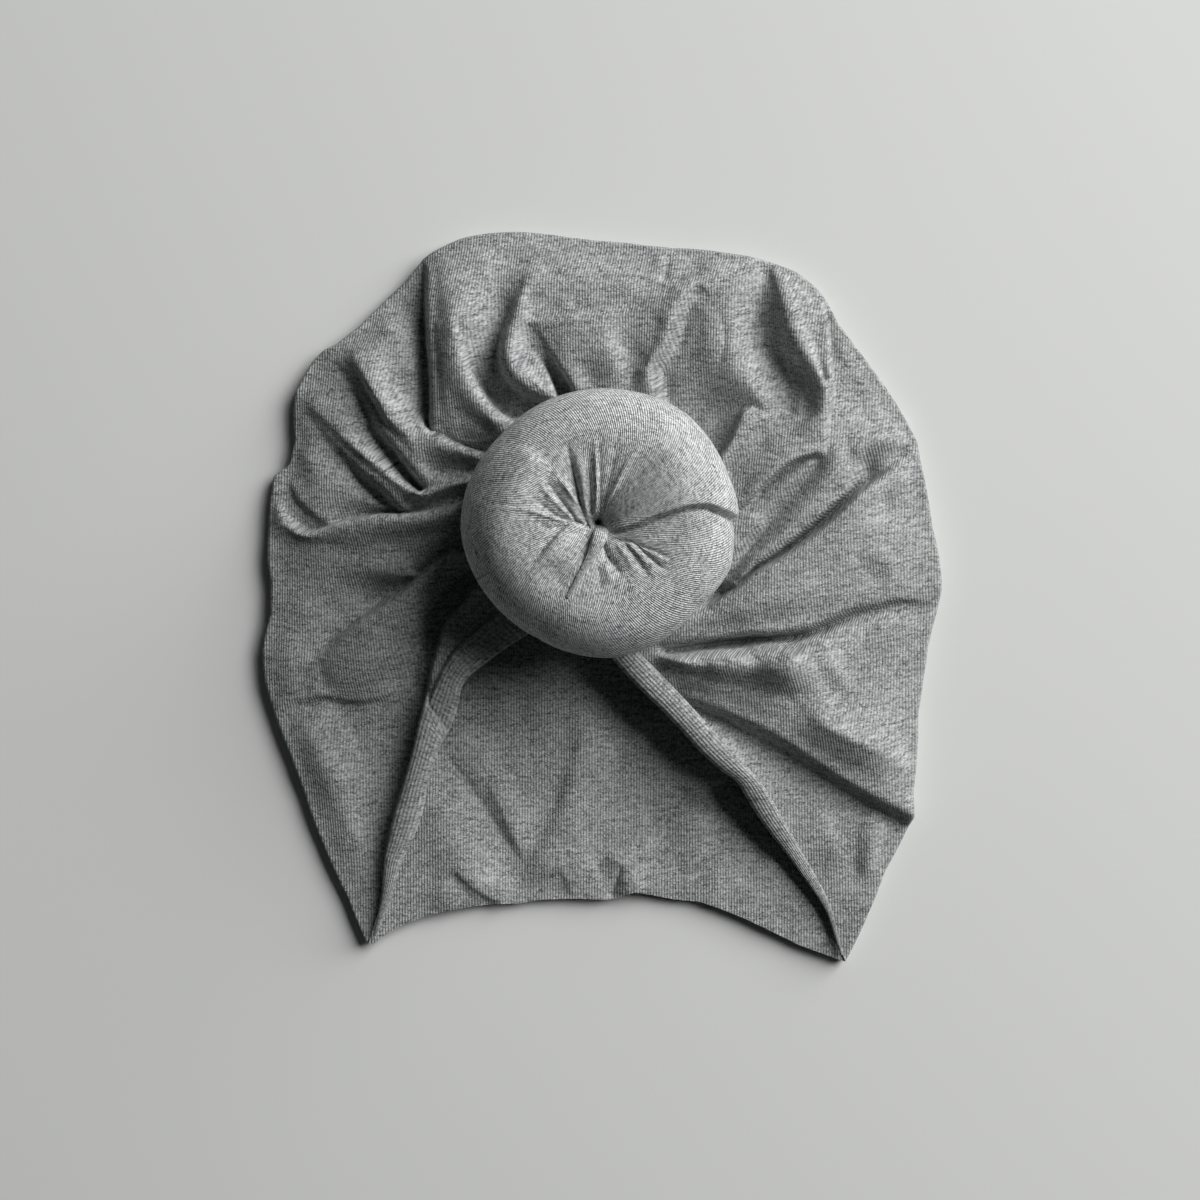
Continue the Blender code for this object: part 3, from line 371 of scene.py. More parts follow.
# Small wrinkles added to the front's relief
WRINKLE_RISE = 9.0
WRINKLE_FADES = (0.3, 0.3)
WRINKLES = (
    Line("outer_crease", 0.5, 1.2, 1.2, ((928, 638), (905, 656), (880, 671), (858, 684), (842, 696))),
    Line("panel_dent", -0.8, 2.2, 1.8, ((802, 648), (812, 662), (822, 678), (830, 694), (836, 710))),
    Line("panel_dent_side", 0.6, 2, 2, ((822, 650), (834, 668), (844, 684), (850, 702))),
    Line("panel_swell", 0.35, 2.4, 2.4, ((745, 662), (770, 670), (792, 682), (806, 700))),
    Line("panel_low_dent", -0.5, 2.8, 2.2, ((776, 686), (790, 700), (802, 716), (812, 732))),
    Line("panel_small_dent", -0.6, 1.2, 1.2, ((733, 648), (735, 658), (732, 670))),
    Line("panel_bright_fold", 0.8, 2.2, 1.6, ((806, 706), (822, 722), (842, 734), (864, 744), (886, 756))),
    Line("lip_roll", 0.8, 2.6, 2.6, ((800, 612), (830, 604), (860, 595), (895, 588), (925, 584))),
    Line("upper_dent", -0.6, 3, 2.4, ((846, 548), (858, 562), (872, 578), (886, 592))),
    Line("upper_dent_side", 0.5, 2.4, 2.4, ((868, 546), (884, 562), (900, 580))),
    Line("middle_dent", -0.5, 2.4, 2.4, ((800, 588), (818, 580), (836, 570), (850, 556))),
    Line("jaw_valley", -1.1, 2.8, 3.2, ((866, 796), (862, 820), (859, 845), (857, 870), (856, 900))),
    Line("jaw_ridge", 0.9, 2.4, 2, ((880, 812), (876, 835), (872, 858), (868, 885))),
    Line("jaw_fold", 0.6, 2.4, 2.4, ((806, 786), (822, 816), (834, 846), (842, 880))),
    Line("brow_crease", -0.7, 0.9, 0.9, ((714, 306), (721, 322), (724, 338), (721, 356), (712, 378))),
    Line("brow_swell", 0.35, 2.6, 2, ((700, 300), (706, 320), (706, 345), (698, 366))),
    Line("crown_crease", -0.9, 0.7, 0.7, ((671, 250), (669, 260), (666, 272), (662, 284))),
    Line("crown_crease_side", 0.6, 1.4, 1.2, ((662, 250), (659, 262), (655, 276))),
    Line("crown_left_dent", -0.6, 2.4, 2.4, ((486, 262), (494, 280), (498, 300), (496, 322))),
    Line("crown_stroke", 0.5, 1.8, 1.8, ((560, 296), (568, 310), (580, 322))),
    Line("left_face_fold", 0.6, 3, 2.4, ((300, 640), (322, 628), (350, 620), (380, 616))),
    Line("left_low_dent", -0.6, 2.6, 2.4, ((320, 700), (340, 716), (356, 740), (368, 770))),
    Line("left_low_swell", 0.3, 3, 3, ((306, 706), (322, 736), (336, 776), (346, 812))),
)

# The nape edge of the back in pixels of the picture, from the left corner to the right one
NAPE_EDGE = (
    (373, 944), (390, 931), (408, 922), (438, 912), (470, 906), (500, 903), (520, 903), (540, 899),
    (575, 898), (608, 899), (615, 898), (624, 895), (634, 891), (645, 893), (675, 899), (700, 901),
    (720, 908), (745, 918), (770, 930), (798, 944), (820, 952), (845, 961),
)
BACK_ROWS = 160
BACK_COLUMNS = 520
BACK_ROW_EASE = 1.5
BACK_SLACK = 1.5
BACK_RISE_EASE = 4
NAPE_SOFTEN = 10

# Creases of the back
BACK_FADES = (0.2, 0.2)
BACK_LINES = (
    Line("middle_crease", 1.8, 9, 4, ((596, 708), (590, 724), (584, 740), (578, 762), (575, 782),
        (571, 802), (563, 827), (554, 846), (541, 862), (534, 876), (530, 890))),
    Line("middle_foot", -0.5, 2, 4, ((584, 716), (576, 738), (568, 764), (560, 788), (550, 814), (540, 836),
        (528, 858), (522, 878))),
    Line("fan_valley", -1, 2, 6, ((436, 744), (448, 758), (462, 776), (477, 796), (490, 815), (500, 831),
        (513, 850), (524, 866))),
    Line("fan_crest", 0.8, 5, 2.2, ((486, 772), (498, 792), (506, 812), (514, 832), (524, 850),
        (534, 866))),
    Line("fan_swell", 2, 8, 9, ((424, 776), (440, 816), (456, 856), (470, 890), (480, 912))),
    Line("corner_fold", 1, 6, 1.8, ((452, 862), (464, 875), (476, 885), (490, 895), (502, 901),
        (514, 906))),
    Line("corner_foot", -0.6, 1.4, 3, ((450, 868), (462, 880), (474, 890), (488, 900), (500, 906))),
    Line("corner_swell", 0.6, 3, 4, ((436, 884), (446, 898), (454, 912))),
    Line("nape_notch", 1.5, 5, 3.2, ((612, 846), (619, 862), (626, 877), (634, 892), (638, 902))),
    Line("nape_notch_foot", -0.9, 1.4, 1.2, ((621, 862), (618, 876), (613, 890), (611, 902))),
    Line("right_valley", -1, 4.4, 5, ((692, 786), (680, 800), (670, 815), (664, 834), (661, 852))),
    Line("right_crest", 0.9, 5, 5, ((706, 812), (696, 830), (692, 850), (700, 872))),
    Line("far_right_valley", -0.6, 2.4, 2.4, ((766, 840), (756, 856), (746, 872), (738, 886))),
    Line("right_rise", 3.2, 6, 16, ((660, 690), (690, 725), (715, 760), (735, 790))),
    Line("nape_swell", 0.5, 4, 5, ((640, 872), (670, 880), (700, 886), (730, 898))),
    Line("low_swell", 0.5, 5, 6, ((560, 880), (580, 872), (600, 866))),
)

# The turned hems from the bun to the corners. Columns: x and y in pixels of the picture on the edge
# beside the face opening, x and y on the other edge, thickness in mm.
LEFT_BAND = (
    (556, 606, 530, 584, 2.6), (545, 622, 520, 600, 3.2), (522, 638, 494, 617, 3.6),
    (502, 651, 475, 633, 4), (485, 664, 459, 646, 4), (471, 675, 450, 658, 4), (463, 686, 442, 672, 3.8),
    (460, 699, 436, 686, 3.6), (456, 714, 430, 700, 3.2), (450, 729, 427, 714, 2.6),
    (443, 742, 424, 730, 1.6),
)
LEFT_HEM = (
    (446, 722, 428, 691, 1.4), (447, 731, 425, 701, 3.2), (443, 741, 420, 720, 4.4),
    (438, 753, 415, 742, 4.8), (432, 771, 409, 765, 4.8), (427, 788, 403, 786, 4.6),
    (425, 802, 397, 804, 4.2), (420, 821, 392, 822, 4.2), (412, 841, 388, 840, 4),
    (402, 861, 384, 858, 3.8), (396, 880, 382, 878, 3.4), (390, 900, 380, 898, 3),
    (382, 920, 376, 918, 2.4), (375, 939, 371, 937, 1.4),
)
RIGHT_HEM = (
    (586, 620, 604, 610, 2.6), (598, 640, 620, 630, 3.4), (617, 664, 640, 653, 4),
    (640, 689, 661, 674, 4.4), (661, 709, 682, 696, 4.4), (681, 730, 703, 719, 4.4),
    (700, 751, 723, 741, 4.4), (720, 769, 744, 763, 4.4), (736, 781, 759, 780, 4),
    (746, 797, 770, 796, 3.6), (759, 818, 780, 814, 3), (774, 838, 792, 834, 2.6),
    (789, 857, 803, 853, 2.2), (803, 877, 814, 872, 2), (816, 895, 825, 892, 1.8),
    (828, 915, 834, 913, 1.6), (836, 938, 840, 937, 1.4), (843, 959, 845, 958, 1.2),
)
HEM_RISE = 9.0
HEM_STEPS = 260
HEM_LIFT = 0.2
HEM_SOFTEN = 12

# Tubes: how flat the top is, 1 for round, the girth that the knit takes to be round it, and the sides
TUBE_FLAT = 0.62
TUBE_GIRTH = 2.6 * MM
TUBE_SIDES = 32

# The bun: its outline from above as direction and distance from its centre in mm
BUN_OUTLINE = (
    (0, 34.4), (28, 35.2), (51, 35.7), (83, 34.3), (106, 33.8), (138, 33.3), (165, 34.5), (182, 34.8),
    (198, 34), (215, 33.4), (242, 32.9), (275, 34.2), (290, 34), (320, 33.3), (341, 35.4),
)
BUN_RING_RADIUS = 18.0 * MM
BUN_CREST_RADIUS = 21.0 * MM
BUN_HALF_HEIGHT = 15.5 * MM
BUN_MIDDLE_Z = 26.9 * MM
BUN_HOLE = 0.4 * MM
BUN_DISH_POWER = 4.0
BUN_DISH_SLOPE = 0.13
BUN_DISH_EASE = 0.2

# The cloth stays under the bun by UNDER_ROOM as far as UNDER_REACH from the ring of its middle
UNDER_HALF_WIDTH = 16.4 * MM
UNDER_REACH = 16.0 * MM
UNDER_ROOM = 0.7 * MM

# The bun's surface: steps round it, and sides over its top, which reaches between two angles, and under it
BUN_STEPS = 560
BUN_TOP_SIDES = 150
BUN_UNDER_SIDES = 22
BUN_TOP_FROM, BUN_TOP_TO = -40.0, 215.0

# Folds drawn in to the bun's hole, from the hole outwards, narrower at its edge
BUN_LINE_RISE = 37.0
BUN_FADES = (0.08, 0.5)
BUN_NARROW = 0.35
NARROW_SHARE = 0.6
FOLDS_FROM = 2.5 * MM
BUN_LINES = (
    Line("deep_valley", -2.3, 1.1, 0.8, ((592, 532), (586, 520), (580, 503), (577, 487), (573, 471),
        (569, 452), (565, 436))),
    Line("valley_roll", 0.6, 1.2, 1.3, ((589, 520), (584, 500), (582, 472), (579, 448))),
    Line("ridge_gap", -0.9, 0.9, 0.8, ((592, 518), (590, 490), (589, 462), (588, 440))),
    Line("thin_ridge", 0.8, 0.6, 0.45, ((594, 528), (596, 510), (597, 490), (596, 465), (594, 428))),
    Line("ridge_side", -0.9, 0.4, 1, ((600, 522), (600, 502), (600, 478), (599, 446), (598, 430))),
    Line("soft_gap", -0.7, 1.2, 0.9, ((603, 514), (607, 490), (613, 464), (620, 438))),
    Line("bright_ridge", 1, 1, 0.6, ((603, 516), (609, 502), (615, 489), (622, 474), (632, 459),
        (646, 438))),
    Line("lap_crease", -1.7, 0.8, 0.35, ((602, 522), (604, 513), (611, 501), (622, 490), (636, 480),
        (650, 470), (666, 460), (692, 449))),
    Line("lap_top", 0.8, 0.5, 7, ((604, 522), (607, 513), (614, 502), (625, 492), (639, 482), (653, 472),
        (669, 462), (696, 450))),
    Line("lap_edge", 1.4, 9, 0.3, ((606, 533), (620, 529), (636, 524), (650, 518), (668, 512), (688, 506),
        (706, 505), (722, 510), (738, 516), (760, 522), (800, 530), (840, 536))),
    Line("under_lap", -2.2, 0.3, 1, ((607, 536), (621, 532), (637, 527), (651, 521), (669, 515), (689, 509),
        (707, 508), (723, 513), (742, 520), (770, 528), (800, 536))),
    Line("first_crease", -0.8, 0.5, 0.45, ((608, 537), (618, 540), (632, 543), (642, 548), (654, 552),
        (668, 558), (680, 563))),
    Line("first_crease_ridge", 0.4, 0.7, 0.6, ((638, 546), (648, 552), (660, 558), (672, 565))),
    Line("second_crease", -0.9, 0.5, 0.5, ((638, 547), (644, 553), (653, 561), (662, 568), (673, 573))),
    Line("second_crease_ridge", 0.6, 1.1, 1.1, ((628, 544), (638, 554), (648, 565), (658, 577))),
    Line("third_crease", -0.6, 0.7, 0.8, ((624, 543), (634, 555), (642, 567), (652, 582))),
    Line("third_crease_ridge", 0.5, 1.2, 1.2, ((616, 543), (626, 557), (634, 572), (640, 586))),
    Line("bottom_valley", -2, 0.9, 1.1, ((602, 538), (605, 548), (609, 558), (616, 567), (624, 579))),
    Line("bottom_roll", 0.5, 0.9, 1.2, ((604, 562), (608, 574), (612, 590))),
    Line("bottom_groove", -0.5, 1.2, 1.4, ((598, 566), (600, 584), (602, 604))),
    Line("lobe_body", 1.3, 4.4, 3, ((588, 536), (578, 548), (568, 564), (560, 584))),
    Line("lobe_edge", 1.4, 3.6, 0.35, ((588, 530), (580, 525), (571, 526), (562, 533), (552, 545),
        (541, 560), (530, 574))),
    Line("lobe_foot", -1.6, 0.3, 1, ((586, 526), (579, 522), (570, 523), (560, 531), (550, 543), (539, 558),
        (528, 572))),
    Line("left_crease", -0.8, 0.5, 0.5, ((572, 526), (560, 527), (550, 529), (541, 525), (532, 518))),
    Line("left_ridge", 0.6, 0.7, 1, ((568, 523), (556, 520), (544, 516), (526, 511), (496, 508))),
    Line("upper_left_crease", -0.9, 0.7, 0.8, ((571, 521), (556, 516), (546, 508), (536, 500), (526, 490))),
    Line("upper_left_ridge", 0.8, 0.9, 1.1, ((574, 520), (564, 511), (553, 499), (543, 487), (533, 474))),
    Line("dark_valley", -1.6, 0.9, 0.8, ((586, 528), (576, 520), (567, 508), (558, 497), (548, 483),
        (541, 472))),
    Line("valley_ridge", 1.1, 0.9, 0.7, ((588, 524), (580, 507), (573, 497), (563, 484), (551, 468))),
    Line("left_swell", 1.6, 13, 8, ((540, 452), (520, 480), (508, 510), (504, 545), (512, 580),
        (530, 610))),
    Line("top_crease", -0.35, 0.6, 0.6, ((612, 452), (618, 436), (622, 424))),
    Line("left_far_crease", -0.4, 0.8, 0.8, ((520, 508), (504, 506), (486, 508))),
)

# Directions of the creases in degrees between which the bun's knit lies in one piece, and how far they
# reach
BUN_CREASES = (-155.0, -118.0, -62.0, -28.0, 6.0, 37.0, 66.0, 103.0, 135.0, 158.0, 180.0, 205.0)
BUN_CREASES_REACH = 20.0 * MM
BUN_GIRTH_RADIUS = 34.4 * MM
BUN_SPIRAL = 0.5

# The rope of cloth twisted out of the hole. Columns: x and y in pixels of the picture, width, thickness
# and how far it is sunk in mm.
TWIST = (
    (600.8, 525.4, 2, 1.6, 1.6), (600.8, 530, 3.2, 3.4, 0.1), (600, 536, 3.6, 4.2, -0.3),
    (597.6, 543, 3.4, 3.8, -0.2), (593.4, 552, 2.8, 3, 0.2), (588, 562, 2.2, 2.2, 0.4),
    (582, 572, 1.7, 1.7, 0.5), (575.4, 584, 1.3, 1.3, 0.5), (567, 598, 0.9, 0.8, 0.6),
)
TWIST_LEAST = 8.0
TWIST_STEPS = 120
TWIST_SOFTEN = 10


def catmull(values, t):
    """Smooth values at t, an array from 0 to 1, through evenly spaced values."""
    last = len(values) - 1
    place = t * last
    i = np.minimum(place.astype(int), last - 1)
    f = place - i
    b, c = values[i], values[i + 1]
    a = np.where(i > 0, values[np.maximum(i - 1, 0)], 2 * b - c)
    d = np.where(i + 2 <= last, values[np.minimum(i + 2, last)], 2 * c - b)
    return b + 0.5 * f * (c - a + f * (2 * a - 5 * b + 4 * c - d + f * (3 * (b - c) + d - a)))


def smooth_step(f):
    return f * f * (3 - 2 * f)


def distances(line):
    """How far each point lies along a line of points."""
    return np.concatenate([[0], np.cumsum(np.linalg.norm(np.diff(line, axis=0), axis=1))])


def resample(line, count):
    """Evenly spaced points along a line of points."""
    lengths = distances(line)
    want = np.linspace(0, lengths[-1], count)
    return np.stack([np.interp(want, lengths, line[:, k]) for k in range(line.shape[1])], axis=-1)


def soften(values, rounds=1):
    """Evens a table out from row to row, in place."""
    for _ in range(rounds):
        values[1:-1] = (values[:-2] + 2 * values[1:-1] + values[2:]) / 4


def place_mm(degrees, pixels, rise):
    """Places in mm from the bun's middle of what the picture shows there, at that height."""
    a = np.radians(degrees)
    scale = (CAMERA_HEIGHT / MM - rise) * math.tan(math.radians(CAMERA_VIEW_DEGREES / 2)) / PICTURE_MIDDLE
    across = BUN_PIXEL[0] + pixels * np.cos(a) - PICTURE_MIDDLE
    up = PICTURE_MIDDLE - BUN_PIXEL[1] + pixels * np.sin(a)
    x = (CAMERA_X - BUN_X) / MM + across * scale
    y = (CAMERA_Y - BUN_Y) / MM + up * scale
    return np.stack([x, y], axis=-1)


def from_pixels(x, y, rise):
    """Places in mm from the bun's middle of what the picture shows at pixels, at that height."""
    x, y = x - BUN_PIXEL[0], BUN_PIXEL[1] - y
    return place_mm(np.degrees(np.arctan2(y, x)), np.hypot(x, y), rise)


def by_column(table):
    """The columns of a table, each an array."""
    return np.array(table, float).T


def smooth_path(rows):
    """Points a PATH_STEP apart on a smooth line through the rows of x, y and heights."""
    knots = distances(rows[:, :2])
    gap = np.diff(knots)[:, None]
    slope = np.diff(rows, axis=0) / gap
    inner = (slope[:-1] * gap[1:] + slope[1:] * gap[:-1]) / (gap[:-1] + gap[1:])
    tangent = np.concatenate([slope[:1], inner, slope[-1:]])
    t = np.linspace(0, knots[-1], max(2, int(knots[-1] / PATH_STEP)))
    i = np.clip(np.searchsorted(knots, t, side="right") - 1, 0, len(gap) - 1)
    f = ((t - knots[i]) / gap[i, 0])[:, None]
    f2, f3 = f * f, f * f * f
    return (
        rows[i] * (1 - 3 * f2 + 2 * f3) + rows[i + 1] * (3 * f2 - 2 * f3)
        + gap[i] * (tangent[i] * (f - 2 * f2 + f3) + tangent[i + 1] * (f3 - f2))
    )


def edge_path(edge):
    """A fold's edge with its heights and those of its foot, and the way to the foot at each point."""
    degrees, pixels, top, foot = by_column(edge.points)
    path = smooth_path(np.column_stack([place_mm(degrees, pixels, top), top, foot]))
    run = np.gradient(path[:, :2], axis=0)
    run /= np.linalg.norm(run, axis=1, keepdims=True)
    return path, np.stack([-run[:, 1], run[:, 0]], axis=-1) * edge.side


def run_path(points):
    degrees, pixels, rise = by_column(points)
    return smooth_path(np.column_stack([place_mm(degrees, pixels, rise), rise]))


def outline_table():
    """Direction, distance and height of the outline's roll in mm, as seen from above, close set."""
    degrees, pixels, rises = by_column(OUTLINE)
    x, y = place_mm(degrees, pixels, rises / 2).T
    angle = np.unwrap(np.arctan2(y, x))
    angle += 2 * math.pi * round((math.radians(degrees[0]) - angle[0]) / (2 * math.pi))
    at = np.linspace(angle[0], angle[-1], DENSE)
    reach = np.interp(-at, -angle, np.hypot(x, y))
    rise = np.interp(-at, -angle, rises)
    spread = int(OUTLINE_SOFTEN / (80 * abs(at[1] - at[0])))
    kernel = np.hanning(2 * spread + 3)
    kernel /= kernel.sum()
    half = len(kernel) // 2
    padded = [np.pad(values, half, mode="edge") for values in (reach, rise)]
    reach, rise = [np.convolve(values, kernel, mode="valid") for values in padded]
    return at, reach - ROLL_BULGE * rise / 2, rise


def marks(step, outline):
    """Heights that the relief takes at its fold lines, and how stiff it is, on a grid of that step."""
    size = [int(round((FIELD_HIGH[k] - FIELD_LOW[k]) / step)) + 1 for k in (1, 0)]
    total, count, stiff = np.zeros(size), np.zeros(size), np.ones(size)

    def cells(xy):
        column = np.round((xy[:, 0] - FIELD_LOW[0]) / step).astype(int)
        row = np.round((xy[:, 1] - FIELD_LOW[1]) / step).astype(int)
        return np.clip(row, 0, size[0] - 1), np.clip(column, 0, size[1] - 1)

    def hold(xy, rise):
        where = cells(xy)
        np.add.at(total, where, rise)
        np.add.at(count, where, 1)

    def slacken(xy):
        stiff[cells(xy)] = CREASED

    for edge in EDGES:
        path, aside = edge_path(edge)
        drop = path[:, 2] - path[:, 3]
        roll = np.clip(drop * ROLL_SHARE, 0, edge.roll)[:, None]
        for off, sunk in ROLL_SHAPE:
            hold(path[:, :2] - aside * roll * off, path[:, 2] - roll[:, 0] * sunk)
        hold(path[:, :2] + aside * edge.wall, path[:, 3])
        for off in (0.0, 0.25, 0.5, 0.75, 1.0) if edge.wall < STEEP_WALL else ():
            slacken(path[:, :2] + aside * (off * (edge.wall + WALL_SLACK)))
    for run in RUNS:
        path = run_path(run.points)
        hold(path[:, :2], path[:, 2])
        if run.crease:
            slacken(path[:, :2])
    at, reach, rise = outline
    hold(np.stack([reach * np.cos(at), reach * np.sin(at)], axis=-1), rise)
    held = count > 0
    return held, np.where(held, total / np.maximum(count, 1), 0.0), stiff


def bend(z, stiff, tension):
    """How hard a bent and tightened sheet pulls back at each cell."""
    pull = np.zeros_like(z)
    d = (z[:, :-2] - 2 * z[:, 1:-1] + z[:, 2:]) * stiff[:, 1:-1]
    pull[:, :-2] += d
    pull[:, 1:-1] -= 2 * d
    pull[:, 2:] += d
    d = (z[:-2] - 2 * z[1:-1] + z[2:]) * stiff[1:-1]
    pull[:-2] += d
    pull[1:-1] -= 2 * d
    pull[2:] += d
    d = 2 * (z[:-1, :-1] - z[:-1, 1:] - z[1:, :-1] + z[1:, 1:]) * stiff[:-1, :-1]
    pull[:-1, :-1] += d
    pull[:-1, 1:] -= d
    pull[1:, :-1] -= d
    pull[1:, 1:] += d
    d = (z[:, 1:] - z[:, :-1]) * tension
    pull[:, 1:] += d
    pull[:, :-1] -= d
    d = (z[1:] - z[:-1]) * tension
    pull[1:] += d
    pull[:-1] -= d
    return pull


def relax(z, held, stiff, tension, rounds):
    """Conjugate gradients on the free cells, eased by the pull's own diagonal."""
    ease = 1.0 / (20 * stiff + 4 * tension)
    free = ~held
    left = -bend(z, stiff, tension) * free
    eased = left * ease
    way = eased.copy()
    power = (left * eased).sum()
    for _ in range(rounds):
        pull = bend(way, stiff, tension) * free
        stride = power / max((way * pull).sum(), 1e-30)
        z += stride * way
        left -= stride * pull
        eased = left * ease
        new_power = (left * eased).sum()
        way = eased + way * (new_power / power)
        power = new_power
    return z


def sample(field, step, x, y):
    """The field at places x, y in mm, evenly blended between its cells."""
    gx = np.clip((x - FIELD_LOW[0]) / step, 0, field.shape[1] - 1.001)
    gy = np.clip((y - FIELD_LOW[1]) / step, 0, field.shape[0] - 1.001)
    i, j = gy.astype(int), gx.astype(int)
    fy, fx = gy - i, gx - j
    low = field[i, j] * (1 - fx) + field[i, j + 1] * fx
    high = field[i + 1, j] * (1 - fx) + field[i + 1, j + 1] * fx
    return low * (1 - fy) + high * fy


def lump_height(u, v, lumps):
    """Height in mm of soft lumps at places u across and v along the folds, in mm."""
    total = np.zeros_like(u)
    for lump in lumps:
        grid = np.random.default_rng(lump.seed).uniform(-1, 1, (LUMP_GRID, LUMP_GRID))
        i, j = np.floor(u / lump.across).astype(int), np.floor(v / lump.along).astype(int)
        f, g = smooth_step(u / lump.across - i), smooth_step(v / lump.along - j)
        i, j, i2, j2 = i % LUMP_GRID, j % LUMP_GRID, (i + 1) % LUMP_GRID, (j + 1) % LUMP_GRID
        low = grid[i, j] * (1 - f) + grid[i2, j] * f
        high = grid[i, j2] * (1 - f) + grid[i2, j2] * f
        total += lump.rise * (low * (1 - g) + high * g)
    return total


def line_offset(x, y, lines, rise, fades, narrow=1.0):
    """Height in mm that the lines' folds add at places x, y in mm from the bun's middle."""
    total = np.zeros_like(x)
    for line in lines:
        path = smooth_path(from_pixels(*by_column(line.points), rise))
        reach = LINE_REACH * max(line.left, line.right)
        low, high = path.min(axis=0) - reach, path.max(axis=0) + reach
        near = np.nonzero((x > low[0]) & (x < high[0]) & (y > low[1]) & (y < high[1]))
        if not len(near[0]):
            continue
        here = np.stack([x[near], y[near]], axis=-1)
        path = path[:: max(1, int(LINE_STEP / PATH_STEP))]
        run = np.gradient(path, axis=0)
        best = np.full(len(here), 1e9)
        pick = np.zeros(len(here), int)
        for k, point in enumerate(path):
            away = (here[:, 0] - point[0]) ** 2 + (here[:, 1] - point[1]) ** 2
            closer = away < best
            best[closer] = away[closer]
            pick[closer] = k
        away = here - path[pick]
        side = run[pick, 0] * away[:, 1] - run[pick, 1] * away[:, 0]
        where = pick / (len(path) - 1)
        grown = narrow + (1 - narrow) * np.clip(where / NARROW_SHARE, 0, 1)
        width = np.where(side > 0, line.left, line.right) * grown
        fade = smooth_step(np.clip(where / fades[0], 0, 1) * np.clip((1 - where) / fades[1], 0, 1))
        sharp = VALLEY_SHARPNESS if line.rise < 0 else CREST_SHARPNESS
        total[near] += line.rise * np.exp(-((np.sqrt(best) / width) ** sharp)) * fade
    return total


def grid_places(shape, step):
    """Places y and x in mm of the cells of a grid of that shape and step."""
    y = FIELD_LOW[1] + np.arange(shape[0]) * step
    x = FIELD_LOW[0] + np.arange(shape[1]) * step
    return np.meshgrid(y, x, indexing="ij")


def solve_relief(outline):
    """The front's height on the finest grid, solved from the coarsest one on."""
    field, before = None, None
    for step, rounds in FIELD_STEPS:
        held, value, stiff = marks(step, outline)
        if field is None:
            field = np.full(held.shape, FIELD_START)
        else:
            y, x = grid_places(held.shape, step)
            field = sample(field, before, x, y)
        field[held] = value[held]
        field = relax(field, held, stiff, (step / TENSION_REACH) ** 2, rounds)
        before = step
    for _ in range(2):
        soften(field)
        soften(field.T)
    y, x = grid_places(field.shape, FINEST)
    field += line_offset(x, y, WRINKLES, WRINKLE_RISE, WRINKLE_FADES)
    turn = (np.arctan2(y, x) + math.pi / 2) % (2 * math.pi)
    field += lump_height(turn * LUMP_TURN, np.hypot(x, y), FRONT_LUMPS)
    return np.maximum(field, LEAST_RISE)


def border_degrees(name, outline, shares):
    """The direction of a hem line at each share of the way from the bun's edge to the outline."""
    run = next(r for r in RUNS if r.name == name)
    path = run_path(run.points)
    angle = np.unwrap(np.arctan2(path[:, 1], path[:, 0]))
    turns = round((math.radians(run.points[0][0]) - angle[0]) / (2 * math.pi))
    angle += 2 * math.pi * turns
    at, reach, _ = outline
    limit = np.interp(-angle, -at, reach)
    inner = FRONT_INNER / MM
    share = np.maximum.accumulate((np.hypot(path[:, 0], path[:, 1]) - inner) / (limit - inner))
    found = np.interp(shares, share / share[-1], angle)
    found[-1] = at[0] if name.startswith("left") else at[-1]
    return found


def relief_rows(field, outline):
    """Rows of angle, radius and height across the front, with columns closer where it is folded."""
    shares = np.linspace(0, 1, FRONT_ROWS + 1)
    left = border_degrees("left_hem_line", outline, shares)[:, None]
    right = border_degrees("right_hem_line", outline, shares)[:, None]
    at, reach, _ = outline
    inner = FRONT_INNER / MM

    def rows(t):
        angle = left + (right - left) * t
        radius = inner + shares[:, None] * (np.interp(-angle, -at, reach) - inner)
        x, y = radius * np.cos(angle), radius * np.sin(angle)
        return angle, radius, x, y, sample(field, FINEST, x, y)

    t = np.linspace(0, 1, DENSE)
    _, _, x, y, z = rows(t)
    run = np.stack([np.diff(x, axis=1), np.diff(y, axis=1), np.diff(z, axis=1)], axis=-1)
    slope = np.arctan2(run[..., 2], np.hypot(run[..., 0], run[..., 1]))
    turn = np.abs(np.diff(slope, axis=1, prepend=slope[:, :1]))
    weight = np.linalg.norm(run, axis=-1) + TURN_WEIGHT / MM * turn
    weight = weight / weight.sum(axis=1, keepdims=True)
    soften(weight, COLUMN_SOFTEN)
    walk = np.concatenate([np.zeros((len(weight), 1)), np.cumsum(weight, axis=1)], axis=1)
    want = np.linspace(0, 1, COLUMNS + 1)
    angle, radius, _, _, z = rows(np.stack([np.interp(want, row / row[-1], t) for row in walk]))
    return angle, radius * MM, z * MM


def under_bun(radius):
    """The height of the bun's underside at a distance from its middle, with room for the cloth."""
    off = np.clip((radius - BUN_RING_RADIUS) / UNDER_HALF_WIDTH, -1, 1)
    return BUN_MIDDLE_Z - BUN_HALF_HEIGHT * np.sqrt(1 - off**2) - UNDER_ROOM


